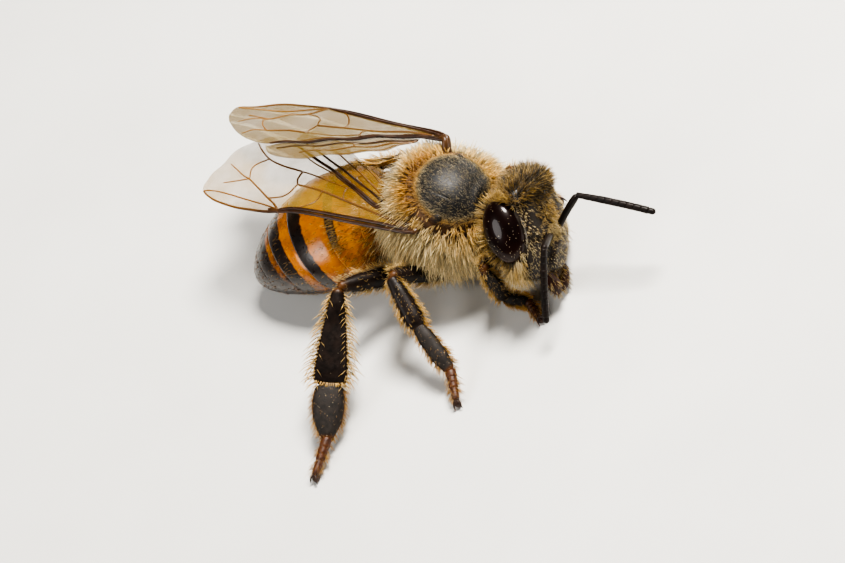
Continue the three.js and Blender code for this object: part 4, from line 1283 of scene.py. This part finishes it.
def coat_abdomen(surfaces):
    """Long hair on the first plate, two pale patches on the second, and short rows on the rest."""
    rng = np.random.default_rng(31)
    coat = Coat()
    for number, (outer, phi) in enumerate(surfaces, 1):
        surface = Surface(outer)
        rows, sides = outer.shape[:2]
        v = np.linspace(0, 1, rows)[:, None]
        if number == 1:
            weight, amount, size = 1.6, 1700, 0.36
        elif number == 2:
            patch = bell(phi - radians(48), 0.35) + bell(phi - radians(132), 0.35)
            weight, amount, size = 0.5 + 2.2 * patch * bell(v - 0.85, 0.2) + 0.8 * (1 - smooth(v, 0, 0.5)), 2400, 0.2
        else:
            weight = 0.3 + 0.7 * smooth(v, 0.1, 0.3) * (1 - smooth(v, 0.3, 0.75))
            amount, size = 1000 - 120 * number, 0.12
        weight = weight * (0.4 + 0.6 * smooth(np.sin(phi), -0.9, -0.2)) * smooth(v, 0.05, 0.15)
        p, n, uv, _ = surface.sow(rng, amount, weight, 2, 0.03)
        count = len(p)
        tail = flow(n, unit(surface.at(uv[:, 1] * (rows - 1), uv[:, 0] * sides, surface.along)))
        direction = tail + n * (0.35 if number > 2 else 0.5) + jitter(rng, count, 0.15)
        length = size * rng.uniform(0.6, 1.25, count)
        tint = clamp(0.26 + 0.08 * number + 0.35 * (number >= 5) + rng.normal(0, 0.12, count))
        coat.grow(p, direction, -n * 0.15 + jitter(rng, count, 0.05), length, rng.uniform(0.009, 0.014, count),
                  uv * (1, 1 / 6) + (0, (number - 1) / 6), tint, 0.3 + 0.7 * rng.random(count))
    coat.make("coat_abdomen", HAIR, "amber", 2)


LEG_STRIP = 0.033  # how much of the unwrap's height each leg joint has
LEG_POINTS = ("coxa", "trochanter", "knee", "ankle", "heel", "foot")
# how many hairs, their length in mm, how bare the outer face is, how much denser the hair is at the edges, from
# where it thickens and by how much at the end, how long and thick it is on the outer face, and its tint
LEG_HAIR = {
    "coxa": (420, 0.26, 0.5, 1.5, 0.8, 0, 0.65, 0.3),
    "femur": (650, 0.26, 0.5, 1.5, 0.8, 0, 0.65, 0.3),
    "tibia": (760, 0.22, 0.45, 2.0, 0.85, 1.5, 0.65, 0.42),
    "basket": (420, 0.17, 0.985, 1.5, 0.8, 0, 0.45, 0.42),
    "basitarsus": (620, 0.2, 0.4, 3.0, 0.8, 1, 0.45, 0.6),
    "tarsus": (340, 0.22, 0, 0, 0.8, 0, 0.65, 0.62),
}


def coat_legs(legs):
    rng = np.random.default_rng(41)
    coats = {"right": Coat(), "left": Coat()}
    atlas = 0
    for name, parts in legs.items():
        pair, side = name.split("_")
        points = dict(zip(LEG_POINTS, (np.array(q) for q in LEGS[name])))
        spans = zip(("coxa", "trochanter", "knee", "ankle", "heel"), LEG_POINTS[1:])
        for (joint, rings), (first, last) in zip(parts.items(), spans):
            axis, across, up = frame_of(points[first], points[last], leg_facing(name))
            basket = pair == "hind" and joint == "tibia"
            row = LEG_HAIR["basket" if basket else joint]
            amount, size, bare, corners, dense_from, denser, fineness, colour = row
            phi = circle(rings.shape[1])[None, :]
            v = np.linspace(0, 1, rings.shape[0])[:, None]
            weight = ((1 - bare * smooth(np.sin(phi), 0.1, 0.5)) * (1 + corners * (np.abs(np.cos(phi)) > 0.86))
                      * (1 + denser * smooth(v, dense_from, 1)))
            p, n, uv, _ = Surface(rings).sow(rng, amount, weight, 2, 0.02)
            count = len(p)
            sideways = np.abs((n * across).sum(-1))
            direction = n * (0.35 + 0.4 * sideways)[:, None] + axis * 0.75 + jitter(rng, count, 0.12)
            fine = np.where((n * up).sum(-1) > 0.5, fineness, 1.0)
            length = size * (0.45 + 0.75 * smooth(sideways, 0.3, 0.9)) * rng.uniform(0.5, 1.35, count) * fine
            tint = clamp(colour + rng.normal(0, 0.1, count))
            coats[side].grow(p, direction, jitter(rng, count, 0.06) - n * 0.08, length,
                             rng.uniform(0.012, 0.019, count) * fine, uv * (1, LEG_STRIP) + (0, LEG_STRIP * atlas),
                             tint, 0.25 + 0.75 * rng.random(count))
            if basket:
                comb(rng, coats[side], points["knee"], points["ankle"], leg_facing(name), atlas)
            atlas += 1
    for side, coat in coats.items():
        coat.make(f"coat_legs_{side}", HAIR, "coat", 3)


def comb(rng, coat, knee, ankle, facing, atlas):
    """Long curved hairs along both edges of the hind shin, short ones inside them, and a row at its end."""
    axis, across, up = frame_of(knee, ankle, facing)
    reach = np.linalg.norm(ankle - knee)
    stops, widths, _ = np.array(PROFILES["hind"]["tibia"]).T

    def edge(t, side, inset, lift):
        return (knee + axis * (t * reach)[:, None] + across * side * (np.interp(t, stops, widths) * inset)[:, None]
                + up * lift)

    def strip(u, t):
        return np.stack([u + 0 * t, LEG_STRIP * (atlas + clamp(t))], -1)

    for side in (1, -1):
        for row in range(2):
            count = COMB_HAIRS
            t = np.linspace(0.08, 0.97, count) + rng.normal(0, 0.006, count) + 0.02 * row
            way = (across * side * (0.95 - 0.3 * row) + axis * (0.15 + 0.25 * row) + up * (0.18 + 0.2 * row)
                   + jitter(rng, count, 0.09))
            bend = axis * 0.45 - across * side * 0.14 + jitter(rng, count, 0.06)
            size = np.interp(t, [0.1, 0.35, 0.8, 1.0], [0.26, 0.54, 0.52, 0.36]) * rng.uniform(0.8, 1.15, count)
            coat.grow(edge(t, side, 0.97 - 0.06 * row, 0.05 + 0.05 * row), way, bend, size, 0.047,
                      strip(0.25 + 0.5 * (side < 0), t), clamp(0.33 + rng.normal(0, 0.08, count)),
                      0.5 + 0.4 * rng.random(count))
        count = COMB_INNER[side]
        t = np.linspace(0.15, 0.95, count) + rng.normal(0, 0.02, count)
        way = -across * side * 0.5 + axis * 0.5 + up * 0.5 + jitter(rng, count, 0.14)
        coat.grow(edge(t, side, 0.9, 0.09), way, axis * 0.3 - up * 0.25, rng.uniform(0.16, 0.34, count), 0.022,
                  strip(0.3 + 0.4 * (side < 0), t), 0.3, 0.5 + 0.4 * rng.random(count))
    count = COMB_END
    over = rng.uniform(-0.95, 0.95, count)
    root = knee + axis * (reach * 0.965 - 0.06 * over[:, None] ** 2) + across * (over * 0.47)[:, None] + up * 0.14
    way = axis * 0.75 + across * (0.35 * over)[:, None] + up * 0.45 + jitter(rng, count, 0.12)
    coat.grow(root, way, -up * 0.2, rng.uniform(0.12, 0.22, count), 0.026,
              strip(0.5 + 0.2 * over, np.full(count, 0.97)), 0.4, 0.5 + 0.4 * rng.random(count))


# ---- grains


def grains(shape, rng, surface, count, weight, low, high):
    """Small angular grains that lie on a surface."""
    root, normal, _, _ = surface.sow(rng, count, weight)
    size = rng.uniform(low, high, (count, 1))
    a = unit(rng.normal(size=(count, 3)))
    b = unit(np.cross(a, rng.normal(size=(count, 3))))
    c = np.cross(a, b)
    centre = root + normal * size * 0.5
    points = np.stack([centre + size * way for way in (a, -a, b, -b, c, -c)], 1).reshape(-1, 3)
    faces = np.array([(i, j, k) for i in (0, 1) for j in (2, 3) for k in (4, 5)])
    shape.add(points, None, (faces[None] + 6 * np.arange(count)[:, None, None]).reshape(-1, 3))


def make_grains(eyes, scutum, plates, legs):
    rng = np.random.default_rng(51)
    shape = Shape()
    for rings, grid in eyes.values():
        weight = smooth(grid[..., 0], 0.1, 0.4) * (0.3 + smooth(-grid[..., 2], -0.4, 0.5))
        grains(shape, rng, Surface(rings), 70, weight, 0.006, 0.013)
    grains(shape, rng, Surface(head_rings), 170, smooth(head_local[..., 0], 0.0, 0.4), 0.006, 0.013)
    grains(shape, rng, Surface(scutum, THORAX), 60, 1, 0.006, 0.012)
    for outer, _ in plates[4:]:
        grains(shape, rng, Surface(outer), 35, 1, 0.008, 0.016)
    for parts in legs.values():
        for joint in ("tibia", "basitarsus"):
            grains(shape, rng, Surface(parts[joint]), 22, 1, 0.006, 0.012)
    piece("pollen_grains", shape, SPECK)


# ---- stage, camera and lights

VIEW_BACK, VIEW_UP = np.array([0.5492, -0.447, 0.706]), np.array([-0.0665, 0.8189, 0.57])
LENS, SENSOR, CAMERA_FROM = 199.7, 36.0, 142.0  # mm
AIM_RIGHT, AIM_UP = -0.742, -2.318  # where the camera looks, from the thorax's centre over the picture, mm
FLOOR_HALF = 0.6  # m
LAMPS = {  # the way to each lamp (right, up, back), how far and how wide it is in metres, its watts and its colour
    "key": ((0, 0.8, 0.6), 0.12, 0.042, 0.36, (1.0, 0.96, 0.9)),
    "fill": ((-0.8, -0.12, 0.55), 0.13, 0.075, 0.085, (1.0, 0.98, 0.96)),
    "rim": ((0.5, 0.9, -0.5), 0.14, 0.06, 0.1, (1.0, 0.98, 0.95)),
}
SKY, SKY_STRENGTH = (0.97, 0.98, 1.0, 1), 0.085


def make_stage():
    mesh = bpy.data.meshes.new("floor")
    corners = [(x * FLOOR_HALF, y * FLOOR_HALF, 0) for x, y in ((-1, -1), (1, -1), (1, 1), (-1, 1))]
    mesh.from_pydata(corners, [], [(0, 1, 2, 3)])
    mesh.materials.append(mottled("floor", 6, 3, (0.3, (0.66, 0.655, 0.63)), (0.7, (0.7, 0.695, 0.67)),
                                  Roughness=0.75, Specular_IOR_Level=0.2))
    link("floor", mesh)


def make_camera():
    """Makes the camera, and says which ways are right, up and back in its picture."""
    data = bpy.data.cameras.new("camera")
    data.lens, data.sensor_width = LENS, SENSOR
    data.clip_start, data.clip_end = 0.01, 2.0
    back = unit(VIEW_BACK)
    right = unit(np.cross(VIEW_UP, back))
    up = np.cross(back, right)
    at = place(THORAX + AIM_RIGHT * right + AIM_UP * up + CAMERA_FROM * back)
    camera = link("camera", data)
    camera.matrix_world = Matrix([[right[i], up[i], back[i], at[i]] for i in range(3)] + [[0, 0, 0, 1]])
    bpy.context.scene.camera = camera
    return np.stack([right, up, back])


def make_lights(view):
    """Three disc lamps that look at the bee, and a faint even sky."""
    goal = Vector(place(THORAX + (-0.8, -1.2, -1.0)))
    for name, (mix, distance, size, power, colour) in LAMPS.items():
        data = bpy.data.lights.new(name, "AREA")
        data.shape, data.size, data.energy, data.color = "DISK", size, power, colour
        lamp, way = link(name, data), Vector(unit(mix @ view))
        lamp.location = goal + way * distance
        lamp.rotation_mode = "QUATERNION"
        lamp.rotation_quaternion = way.to_track_quat("Z", "Y")
    world = bpy.data.worlds.new("world")
    bpy.context.scene.world = world
    world.use_nodes = True
    background = world.node_tree.nodes["Background"]
    background.inputs["Color"].default_value = SKY
    background.inputs["Strength"].default_value = SKY_STRENGTH
    bpy.context.scene.view_settings.look = "AgX - High Contrast"


# ---- making it all

make_lights(make_camera())
make_stage()
make_body()
disc = make_scutum()
make_tegulae()
eyes = make_eyes()
make_ocelli()
plates = make_abdomen()
make_antennae()
mouth = make_mouth()
legs = {leg: make_leg(leg) for leg in LEGS}
make_wings()
coat_thorax()
coat_scutum(disc)
coat_head()
coat_mouth(mouth)
coat_abdomen(plates)
coat_legs(legs)
make_grains(eyes, disc, plates, legs)
